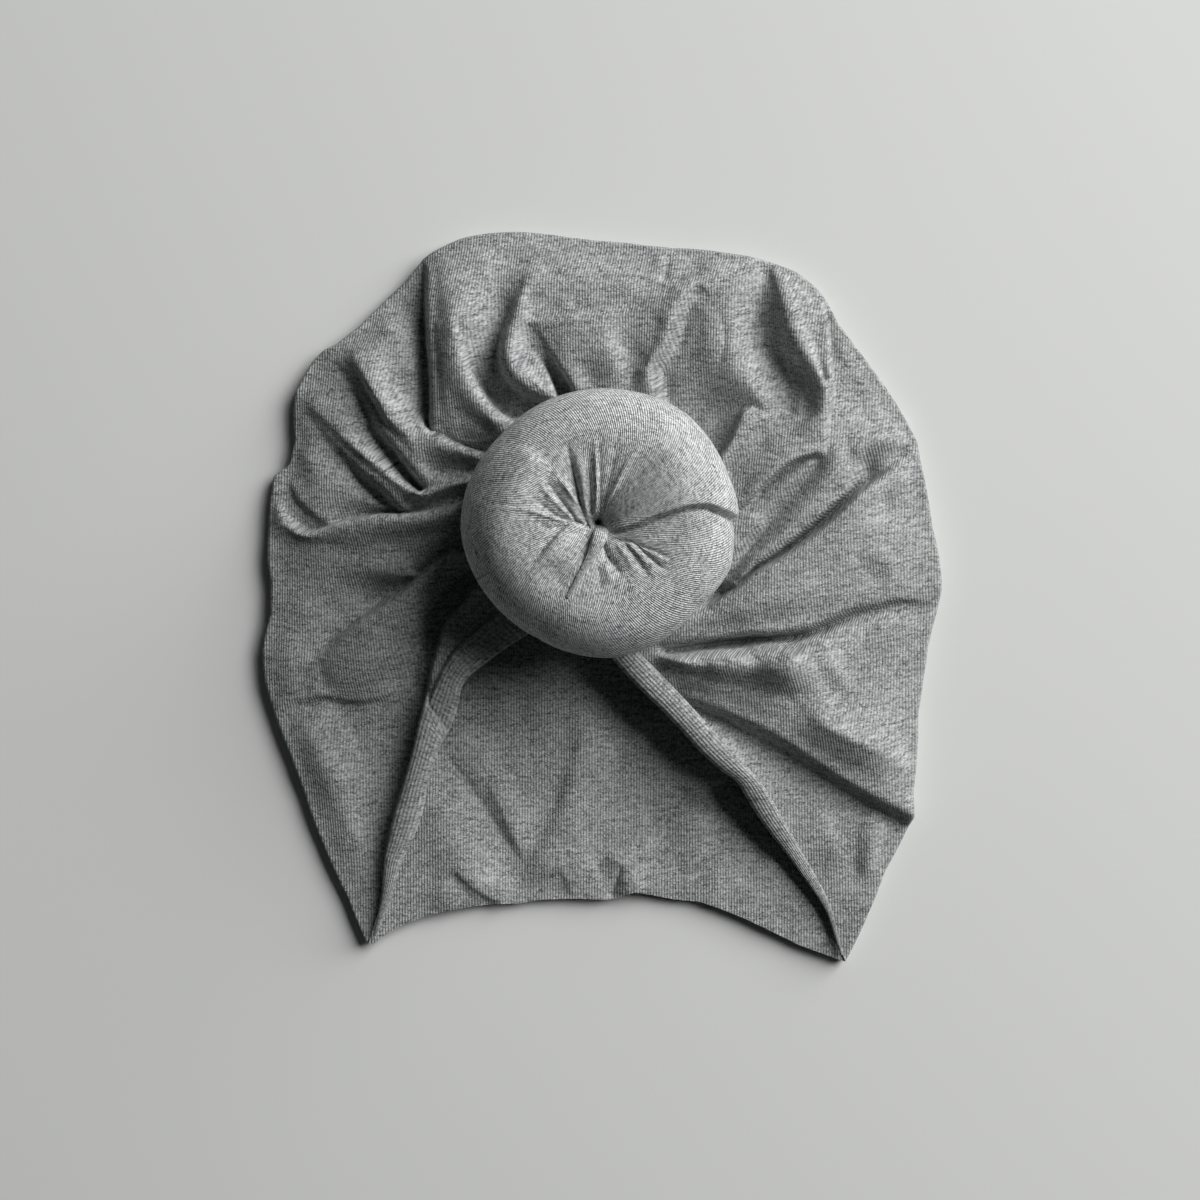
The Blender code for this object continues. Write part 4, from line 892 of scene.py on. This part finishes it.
def cap_rows(field, outline):
    """The cap's front from the gather to the rolled outline: angle, radius and height."""
    angle, radius, z = relief_rows(field, outline)
    z = np.where(radius < BUN_RING_RADIUS + UNDER_REACH, np.minimum(z, under_bun(radius)), z)
    first, last = angle[0, 0], angle[0, -1]
    t = (np.arange(HIDDEN_ROWS) / HIDDEN_ROWS)[:, None]
    gather_first, gather_last = np.radians(GATHER_ANGLES)
    gathered = gather_first + (first - angle[0]) / (first - last) * (gather_last - gather_first)
    under_angle = gathered + (angle[0] - gathered) * t
    under_radius = GATHER_RADIUS + (FRONT_INNER - GATHER_RADIUS) * t + 0 * under_angle
    under_z = GATHER_LEVEL + (z[0] - GATHER_LEVEL) * t**3
    half = z[-1] / 2
    turn = (np.arange(1, ROLL_ROWS + 1) / ROLL_ROWS * math.pi)[:, None]
    roll_angle = angle[-1] + 0 * turn
    roll_radius = radius[-1] + ROLL_BULGE * half * np.sin(turn)
    roll_z = half * (1 + np.cos(turn))
    return (
        np.concatenate([under_angle, angle, roll_angle]),
        np.concatenate([under_radius, radius, roll_radius]),
        np.concatenate([under_z, z, roll_z]),
    )


def to_points(angle, radius, z):
    return np.stack([BUN_X + radius * np.cos(angle), BUN_Y + radius * np.sin(angle), z], axis=-1)


def grid_normals(points):
    """Unit normals of a grid of points, from its rows and columns."""
    normal = np.cross(np.gradient(points, axis=1), np.gradient(points, axis=0))
    length = np.linalg.norm(normal, axis=-1, keepdims=True)
    return normal / np.maximum(length, 1e-12)


def grid_faces(rows, columns, first, flip):
    r, c = np.meshgrid(np.arange(rows - 1), np.arange(columns - 1), indexing="ij")
    a = (first + r * columns + c).ravel()
    quads = np.stack([a, a + columns, a + columns + 1, a + 1], axis=-1)
    return quads[:, ::-1] if flip else quads


def border(rows, columns):
    """The points round a grid, in order."""
    top = np.arange(columns)
    right = np.arange(1, rows) * columns + columns - 1
    bottom = (rows - 1) * columns + np.arange(columns - 2, -1, -1)
    left = np.arange(rows - 2, 0, -1) * columns
    return np.concatenate([top, right, bottom, left])


def make_mesh(name, points, faces, knit, by_corner=False):
    """A smooth object from points, lists of faces and the place of each point or corner in the knit."""
    mesh = bpy.data.meshes.new(name)
    corners = np.concatenate([part.ravel() for part in faces])
    sizes = np.concatenate([np.full(len(part), part.shape[1]) for part in faces])
    starts = np.concatenate([[0], np.cumsum(sizes)[:-1]])
    mesh.vertices.add(len(points))
    mesh.vertices.foreach_set("co", np.ascontiguousarray(points, np.float32).ravel())
    mesh.loops.add(len(corners))
    mesh.loops.foreach_set("vertex_index", np.ascontiguousarray(corners, np.int32))
    mesh.polygons.add(len(sizes))
    mesh.polygons.foreach_set("loop_start", np.ascontiguousarray(starts, np.int32))
    mesh.update(calc_edges=True)
    mesh.validate()
    layer = mesh.uv_layers.new(name="knit")
    order = np.zeros(len(mesh.loops), np.int32)
    mesh.loops.foreach_get("vertex_index", order)
    place = knit if by_corner else knit[order]
    layer.data.foreach_set("uv", np.ascontiguousarray(place, np.float32).ravel())
    mesh.shade_smooth()
    piece = bpy.data.objects.new(name, mesh)
    bpy.context.scene.collection.objects.link(piece)
    return piece


def front_knit(points, angle):
    """Place across and along the knit's columns, which run down the cap, lean with its folds and go round its
    rolled edge, in mm."""
    place = points[..., :2] + points[..., 2:] * KNIT_LEAN
    steps = np.linalg.norm(np.diff(points[-ROLL_ROWS - 1:], axis=0), axis=-1)
    away = np.stack([np.cos(angle[-1]), np.sin(angle[-1])], axis=-1)
    place[-ROLL_ROWS:] = place[-ROLL_ROWS - 1] + np.cumsum(steps, axis=0)[..., None] * away
    return place / MM


def lowest(z):
    """The lowest height round each point of a grid, as far as its sparse copy reaches."""
    low = z.copy()
    for _ in range(SPARSE - 1):
        low[1:-1] = np.minimum(low[1:-1], np.minimum(low[:-2], low[2:]))
        low[:, 1:-1] = np.minimum(low[:, 1:-1], np.minimum(low[:, :-2], low[:, 2:]))
    return low


def lining(points):
    """The inner skin of the front: sparse, and under the lowest of the cloth round each of its points."""
    inner = points.copy()
    inner[..., 2] = lowest(points[..., 2]) - CLOTH
    tail = ROLL_ROWS + 1
    away = points[-tail:] - grid_normals(points)[-tail:] * CLOTH
    inner[-tail:, :, :2] = away[..., :2]
    inner[-tail:, :, 2] = np.minimum(np.maximum(inner[-tail:, :, 2], LINING_FLOOR), away[..., 2])
    return inner[::SPARSE, ::SPARSE]


def sparse_rim(rows, columns, start):
    """Faces that join the edge of a full grid to that of its sparse copy."""
    outer = border(rows, columns)
    inner = border((rows - 1) // SPARSE + 1, (columns - 1) // SPARSE + 1) + start
    found = []
    for k in range(len(outer)):
        found.append((outer[k], outer[(k + 1) % len(outer)], inner[k // SPARSE]))
        if k % SPARSE == SPARSE - 1:
            after = (k // SPARSE + 1) % len(inner)
            found.append((outer[(k + 1) % len(outer)], inner[after], inner[k // SPARSE]))
    return np.array(found)


def two_skins(name, points, inner, knit):
    """A closed sheet from a full grid of points and a sparse grid for its other side."""
    rows, columns = points.shape[:2]
    few_rows, few_columns = inner.shape[:2]
    faces = [
        grid_faces(rows, columns, 0, True),
        grid_faces(few_rows, few_columns, rows * columns, False),
        sparse_rim(rows, columns, rows * columns),
    ]
    every = np.concatenate([points.reshape(-1, 3), inner.reshape(-1, 3)])
    place = np.concatenate([knit.reshape(-1, 2), knit[::SPARSE, ::SPARSE].reshape(-1, 2)])
    return make_mesh(name, every, faces, place)


def make_cap_front(field, outline):
    angle, radius, z = cap_rows(field, outline)
    points = to_points(angle, radius, z)
    return two_skins("cap_front", points, lining(points), front_knit(points, angle)), points


def make_cap_back(front):
    """The back: from the rolled outline over the surface to the nape edge, with its creases."""
    rim = resample(front[-1], BACK_COLUMNS + 1)
    nape = resample(from_pixels(*by_column(NAPE_EDGE), BACK_SLACK), BACK_COLUMNS + 1)
    soften(nape, NAPE_SOFTEN)
    rim = rim[:, :2] - (BUN_X, BUN_Y)
    t = (1 - (1 - np.linspace(0, 1, BACK_ROWS + 1)) ** BACK_ROW_EASE)[:, None, None]
    place = rim / MM * (1 - t) + nape * t
    rise = line_offset(place[..., 0], place[..., 1], BACK_LINES, BACK_SLACK, BACK_FADES)
    rise += lump_height(place[..., 0], place[..., 1], BACK_LUMPS)
    rise = (rise + BACK_SLACK) * np.clip(t[..., 0] * BACK_RISE_EASE, 0, 1)
    top = np.maximum(rise, 0.0) * MM + CLOTH
    points = np.concatenate([place * MM + (BUN_X, BUN_Y), top[..., None]], axis=-1)
    inner = points.copy()
    inner[..., 2] = np.maximum(lowest(top) - CLOTH, 0.0)
    return two_skins("cap_back", points, inner[::SPARSE, ::SPARSE], place)


def end_faces(first, flip):
    """Four-cornered faces that close a tube's end."""
    quads = [(i, i + 1, TUBE_SIDES - 2 - i, TUBE_SIDES - 1 - i) for i in range(TUBE_SIDES // 2 - 1)]
    quads = np.array(quads) + first
    return quads[:, ::-1] if flip else quads


def tube(name, centres, side, widths, thicks):
    """A closed flattened tube through centres, its width along side and its thickness upwards."""
    turn = np.arange(TUBE_SIDES) / TUBE_SIDES * 2 * math.pi
    up = np.sign(np.sin(turn)) * np.abs(np.sin(turn)) ** TUBE_FLAT
    aside = side[:, None, :] * (widths / 2)[:, None, None] * np.cos(turn)[None, :, None]
    points = centres[:, None, :] + aside
    points[..., 2] += (thicks / 2)[:, None] * up
    steps = len(centres)
    i, j = np.meshgrid(np.arange(steps - 1), np.arange(TUBE_SIDES), indexing="ij")
    near, far = i * TUBE_SIDES, (i + 1) * TUBE_SIDES
    k = (j + 1) % TUBE_SIDES
    quads = np.stack([near + j, near + k, far + k, far + j], axis=-1).reshape(-1, 4)
    faces = [quads, end_faces(0, True), end_faces((steps - 1) * TUBE_SIDES, False)]
    places = np.broadcast_arrays(np.cos(turn) * TUBE_GIRTH, distances(centres)[:, None])
    knit = np.stack(places, axis=-1) / MM
    return make_mesh(name, points.reshape(-1, 3), faces, knit.reshape(-1, 2))


def make_hem(name, bands, field):
    """A turned hem: a flattened roll over the cap's own edge."""
    near_x, near_y, far_x, far_y, thick = by_column(bands)
    near = from_pixels(near_x, near_y, HEM_RISE)
    far = from_pixels(far_x, far_y, HEM_RISE)
    rows = resample(smooth_path(np.column_stack([(near + far) / 2, far - near, thick])), HEM_STEPS)
    middle, across, thick = rows[:, :2], rows[:, 2:4], rows[:, 4]
    level = sample(field, FINEST, middle[:, 0], middle[:, 1])
    reach = np.hypot(middle[:, 0], middle[:, 1]) * MM
    level = np.minimum(level, under_bun(reach) / MM - thick)
    soften(level, HEM_SOFTEN)
    width = np.linalg.norm(across, axis=1)
    z = level + thick / 2 + HEM_LIFT
    centres = np.stack([BUN_X / MM + middle[:, 0], BUN_Y / MM + middle[:, 1], z], axis=-1)
    side = np.column_stack([across / width[:, None], np.zeros(len(width))])
    return tube(name, centres * MM, side, width * MM, thick * MM)


def bun_outline(angle):
    degrees, reach = by_column(BUN_OUTLINE)
    return np.interp(np.degrees(angle) % 360, np.append(degrees, 360), np.append(reach, reach[0])) * MM


def bun_knit(phi, psi, radius, half_width):
    """Place on the bun's knit: columns run out from the hole, and are swallowed by its creases."""
    creases = np.radians(BUN_CREASES)
    edges = np.concatenate([creases, creases[:1] + 2 * math.pi])
    turn = (phi - edges[0]) % (2 * math.pi) + edges[0]
    i = np.clip(np.searchsorted(edges, turn, side="right") - 1, 0, len(creases) - 1)
    middle = (edges[i] + edges[i + 1]) / 2
    spread = np.minimum(1.0, radius / BUN_CREASES_REACH)
    across = BUN_GIRTH_RADIUS * (middle + (turn - middle) * spread)
    return np.stack([across + BUN_SPIRAL * psi * half_width, psi * half_width], axis=-1) / MM


def bun_level(radius, half_width):
    """The height of the bun's top over its middle: round outside, a shallow dish inside with a steep hole."""
    off = np.clip((radius - BUN_CREST_RADIUS) / half_width, -1, 1)
    away = np.abs(off)
    rounded = np.sqrt(1 - away**2)
    dished = (1 - away**BUN_DISH_POWER) ** (1 / BUN_DISH_POWER)
    slope = BUN_DISH_SLOPE * BUN_CREST_RADIUS * away**2 / (away + BUN_DISH_EASE)
    dished = BUN_HALF_HEIGHT * dished - slope * np.clip(dished * 1.5, 0, 1)
    return np.where(off > 0, BUN_HALF_HEIGHT * rounded, dished)


def torus_mesh(name, points, knit):
    """A closed mesh from a grid of points whose last row and column repeat the first ones."""
    steps, sides = points.shape[0] - 1, points.shape[1] - 1
    i, j = np.meshgrid(np.arange(steps), np.arange(sides), indexing="ij")
    i2, j2 = (i + 1) % steps, (j + 1) % sides
    quads = np.stack([i * sides + j, i2 * sides + j, i2 * sides + j2, i * sides + j2], axis=-1)
    corners = np.stack([knit[i, j], knit[i + 1, j], knit[i + 1, j + 1], knit[i, j + 1]], axis=-2)
    points = points[:-1, :-1].reshape(-1, 3)
    return make_mesh(name, points, [quads.reshape(-1, 4)], corners.reshape(-1, 2), by_corner=True)


def make_bun():
    """The stuffed ring. Its grid begins at a crease, where the knit has a seam."""
    around = (np.arange(BUN_STEPS + 1) / BUN_STEPS * 2 * math.pi) + math.radians(BUN_CREASES[4])
    top = np.radians(np.linspace(BUN_TOP_FROM, BUN_TOP_TO, BUN_TOP_SIDES, endpoint=False))
    under = np.radians(np.linspace(BUN_TOP_TO, BUN_TOP_FROM + 360, BUN_UNDER_SIDES, endpoint=False))
    section = np.concatenate([top, under, top[:1] + 2 * math.pi])
    phi, psi = np.meshgrid(around, section, indexing="ij")
    outer = bun_outline(phi) - BUN_CREST_RADIUS
    half_width = np.where(np.cos(psi) > 0, outer, BUN_CREST_RADIUS - BUN_HOLE)
    radius = BUN_CREST_RADIUS + half_width * np.cos(psi)
    under_z = BUN_HALF_HEIGHT * np.sin(psi)
    z = BUN_MIDDLE_Z + np.where(np.sin(psi) > 0, bun_level(radius, half_width), under_z)
    x, y = radius * np.cos(phi) / MM, radius * np.sin(phi) / MM
    off = line_offset(x, y, BUN_LINES, BUN_LINE_RISE, BUN_FADES, BUN_NARROW) * MM
    off = off * np.clip(np.sin(psi) * 2 + 0.6, 0, 1) * np.clip(radius / FOLDS_FROM, 0, 1)
    knit = bun_knit(phi, psi, radius, outer)
    aside = np.maximum(np.cos(psi), 0)
    radius = np.maximum(radius + off * aside, BUN_HOLE)
    z = z + off * np.sqrt(1 - aside**2)
    return torus_mesh("bun", to_points(phi, radius, z), knit)


def make_twist():
    """The rope of cloth that lies out of the hole over the bun's slope."""
    pixel_x, pixel_y, width, thick, sunk = by_column(TWIST)
    rows = np.column_stack([from_pixels(pixel_x, pixel_y, BUN_LINE_RISE), width, thick, sunk])
    t = np.linspace(0, 1, TWIST_STEPS)
    x, y, width, thick, sunk = [catmull(rows[:, k], t) for k in range(5)]
    level = (BUN_MIDDLE_Z + bun_level(np.hypot(x, y) * MM, BUN_CREST_RADIUS - BUN_HOLE)) / MM
    level = np.maximum(level, BUN_MIDDLE_Z / MM + TWIST_LEAST)
    centres = np.stack([BUN_X / MM + x, BUN_Y / MM + y, level + thick / 2 - sunk], axis=-1)
    soften(centres, TWIST_SOFTEN)
    run = np.gradient(centres[:, :2], axis=0)
    side = np.stack([-run[:, 1], run[:, 0], 0 * run[:, 0]], axis=-1)
    side /= np.linalg.norm(side, axis=1, keepdims=True)
    return tube("twist", centres * MM, side, width * MM, thick * MM)


def node(nodes, kind, **values):
    made = nodes.new(kind)
    for key, value in values.items():
        setattr(made, key, value)
    return made


def set_inputs(made, values):
    for key, value in values.items():
        made.inputs[key].default_value = value


def stretched(nodes, links, place, across, along):
    """Places on the knit, shrunk by the size in mm of a mark across and along its columns."""
    stretch = node(nodes, "ShaderNodeMapping")
    stretch.inputs["Scale"].default_value = (1 / across, 1 / along, 1.0)
    links.new(place.outputs["UV"], stretch.inputs["Vector"])
    return stretch.outputs["Vector"]


def noise(nodes, links, place, across, along, detail, roughness=0.5):
    """A noise pattern on the knit."""
    made = node(nodes, "ShaderNodeTexNoise")
    set_inputs(made, {"Scale": 1.0, "Detail": detail, "Roughness": roughness})
    links.new(stretched(nodes, links, place, across, along), made.inputs["Vector"])
    return made.outputs["Fac"]


def stitches(nodes, links, place, share):
    """A tone of its own for every stitch, or for a share of one."""
    cell = node(nodes, "ShaderNodeVectorMath", operation="FLOOR")
    links.new(stretched(nodes, links, place, WALE / MM * share, COURSE / MM * share), cell.inputs[0])
    made = node(nodes, "ShaderNodeTexWhiteNoise", noise_dimensions="2D")
    links.new(cell.outputs["Vector"], made.inputs["Vector"])
    return made.outputs["Value"]


def math_node(nodes, links, operation, first, second):
    made = node(nodes, "ShaderNodeMath", operation=operation)
    for slot, value in enumerate((first, second)):
        if isinstance(value, (int, float)):
            made.inputs[slot].default_value = value
        else:
            links.new(value, made.inputs[slot])
    return made.outputs["Value"]


def weighted(nodes, links, patterns):
    """The sum of patterns, each times its weight."""
    total = None
    for pattern, weight in patterns:
        part = math_node(nodes, links, "MULTIPLY", pattern, weight)
        total = part if total is None else math_node(nodes, links, "ADD", total, part)
    return total


def jersey(look):
    """Marl jersey: knit columns with painted shade in the grooves between them, stitches in their own tones,
    yarns mottled along the courses.
    """
    material = bpy.data.materials.new(look.name)
    material.use_nodes = True
    nodes, links = material.node_tree.nodes, material.node_tree.links
    shader = nodes["Principled BSDF"]
    set_inputs(shader, SURFACE)
    place = node(nodes, "ShaderNodeUVMap", uv_map="knit")
    wave = node(nodes, "ShaderNodeTexWave", wave_type="BANDS", bands_direction="X", wave_profile="SIN")
    wave.inputs["Scale"].default_value = WAVE_REPEAT / (WALE / MM)
    set_inputs(wave, COLUMN_WAVE)
    links.new(place.outputs["UV"], wave.inputs["Vector"])
    column = wave.outputs["Fac"]
    stitch = stitches(nodes, links, place, 1.0)
    fibre = stitches(nodes, links, place, 0.5)
    grain = noise(nodes, links, place, GRAIN_SIZE, GRAIN_SIZE, GRAIN_DETAIL, GRAIN_ROUGHNESS)
    tones = [(noise(nodes, links, place, p.across, p.along, PATTERN_DETAIL), p.weight) for p in PATTERNS]
    # The columns' wave in the tone is painted shade in the grooves between the knit's columns; in the bump it
    # is their relief
    tones += [(grain, GRAIN), (stitch, STITCHES), (fibre, FIBRES), (column, look.wales)]
    middle = sum(weight for _, weight in tones) / 2
    ramp = node(nodes, "ShaderNodeValToRGB")
    dark, light = ramp.color_ramp.elements
    dark.position = middle - DARK_BELOW
    dark.color = (*look.dark, 1)
    light.position = middle + LIGHT_ABOVE
    light.color = (*look.light, 1)
    links.new(weighted(nodes, links, tones), ramp.inputs["Fac"])
    links.new(ramp.outputs["Color"], shader.inputs["Base Color"])
    heights = ((grain, GRAIN_HEIGHT), (column, COLUMN_HEIGHT), (stitch, STITCH_HEIGHT))
    bump = node(nodes, "ShaderNodeBump")
    set_inputs(bump, {"Strength": BUMP_STRENGTH, "Distance": look.relief * MM})
    links.new(weighted(nodes, links, heights), bump.inputs["Height"])
    links.new(bump.outputs["Normal"], shader.inputs["Normal"])
    return material


def plain(name, color, roughness):
    material = bpy.data.materials.new(name)
    material.use_nodes = True
    shader = material.node_tree.nodes["Principled BSDF"]
    set_inputs(shader, {"Base Color": (*color, 1.0), "Roughness": roughness})
    return material


def make_stage():
    mesh = bpy.data.meshes.new("floor")
    corners = [(x * FLOOR_HALF, y * FLOOR_HALF, 0) for x, y in ((-1, -1), (1, -1), (1, 1), (-1, 1))]
    mesh.from_pydata(corners, [], [(0, 1, 2, 3)])
    floor = bpy.data.objects.new("floor", mesh)
    bpy.context.scene.collection.objects.link(floor)
    floor.location.z = FLOOR_LEVEL
    floor.data.materials.append(plain("pale_floor", FLOOR_COLOR, FLOOR_ROUGHNESS))


def make_lights():
    light = bpy.data.lights.new("window", "AREA")
    light.shape = "SQUARE"
    light.size = WINDOW_SIZE
    light.energy = WINDOW_WATTS
    holder = bpy.data.objects.new("window", light)
    holder.location = WINDOW_PLACE
    holder.rotation_euler = (-Vector(WINDOW_PLACE)).to_track_quat("-Z", "Y").to_euler()
    bpy.context.scene.collection.objects.link(holder)
    world = bpy.data.worlds.new("soft_room")
    world.use_nodes = True
    set_inputs(world.node_tree.nodes["Background"], {"Color": ROOM_COLOR, "Strength": ROOM_STRENGTH})
    bpy.context.scene.world = world


def make_camera():
    camera = bpy.data.cameras.new("camera")
    camera.sensor_fit = "HORIZONTAL"
    camera.angle = math.radians(CAMERA_VIEW_DEGREES)
    camera.clip_start = 0.01
    holder = bpy.data.objects.new("camera", camera)
    holder.location = (CAMERA_X, CAMERA_Y, CAMERA_HEIGHT)
    bpy.context.scene.collection.objects.link(holder)
    bpy.context.scene.camera = holder


def dress(piece, material, *nodes):
    piece.data.materials.append(material)
    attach(piece, "root")
    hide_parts(*nodes)


cloth = jersey(CAP_JERSEY)
bun_cloth_painted_lighter = jersey(BUN_JERSEY_PAINTED_LIGHTER)
outline = outline_table()
field = solve_relief(outline)
front, front_grid = make_cap_front(field, outline)
dress(front, cloth, "cap_shell")
back = make_cap_back(front_grid)
dress(back, cloth, "cap_shell")
left_hem = make_hem("left_hem", LEFT_HEM, field)
dress(left_hem, cloth, "hem_left")
left_band = make_hem("left_hem_band", LEFT_BAND, field)
dress(left_band, cloth, "hem_left")
right_hem = make_hem("right_hem", RIGHT_HEM, field)
dress(right_hem, cloth, "hem_right")
bun = make_bun()
dress(bun, bun_cloth_painted_lighter, "bun_ring", "gather_stem", "bun_lap")
twist = make_twist()
dress(twist, bun_cloth_painted_lighter, "centre_tuck")

bpy.context.scene.view_settings.view_transform = "Standard"
make_stage()
make_lights()
make_camera()
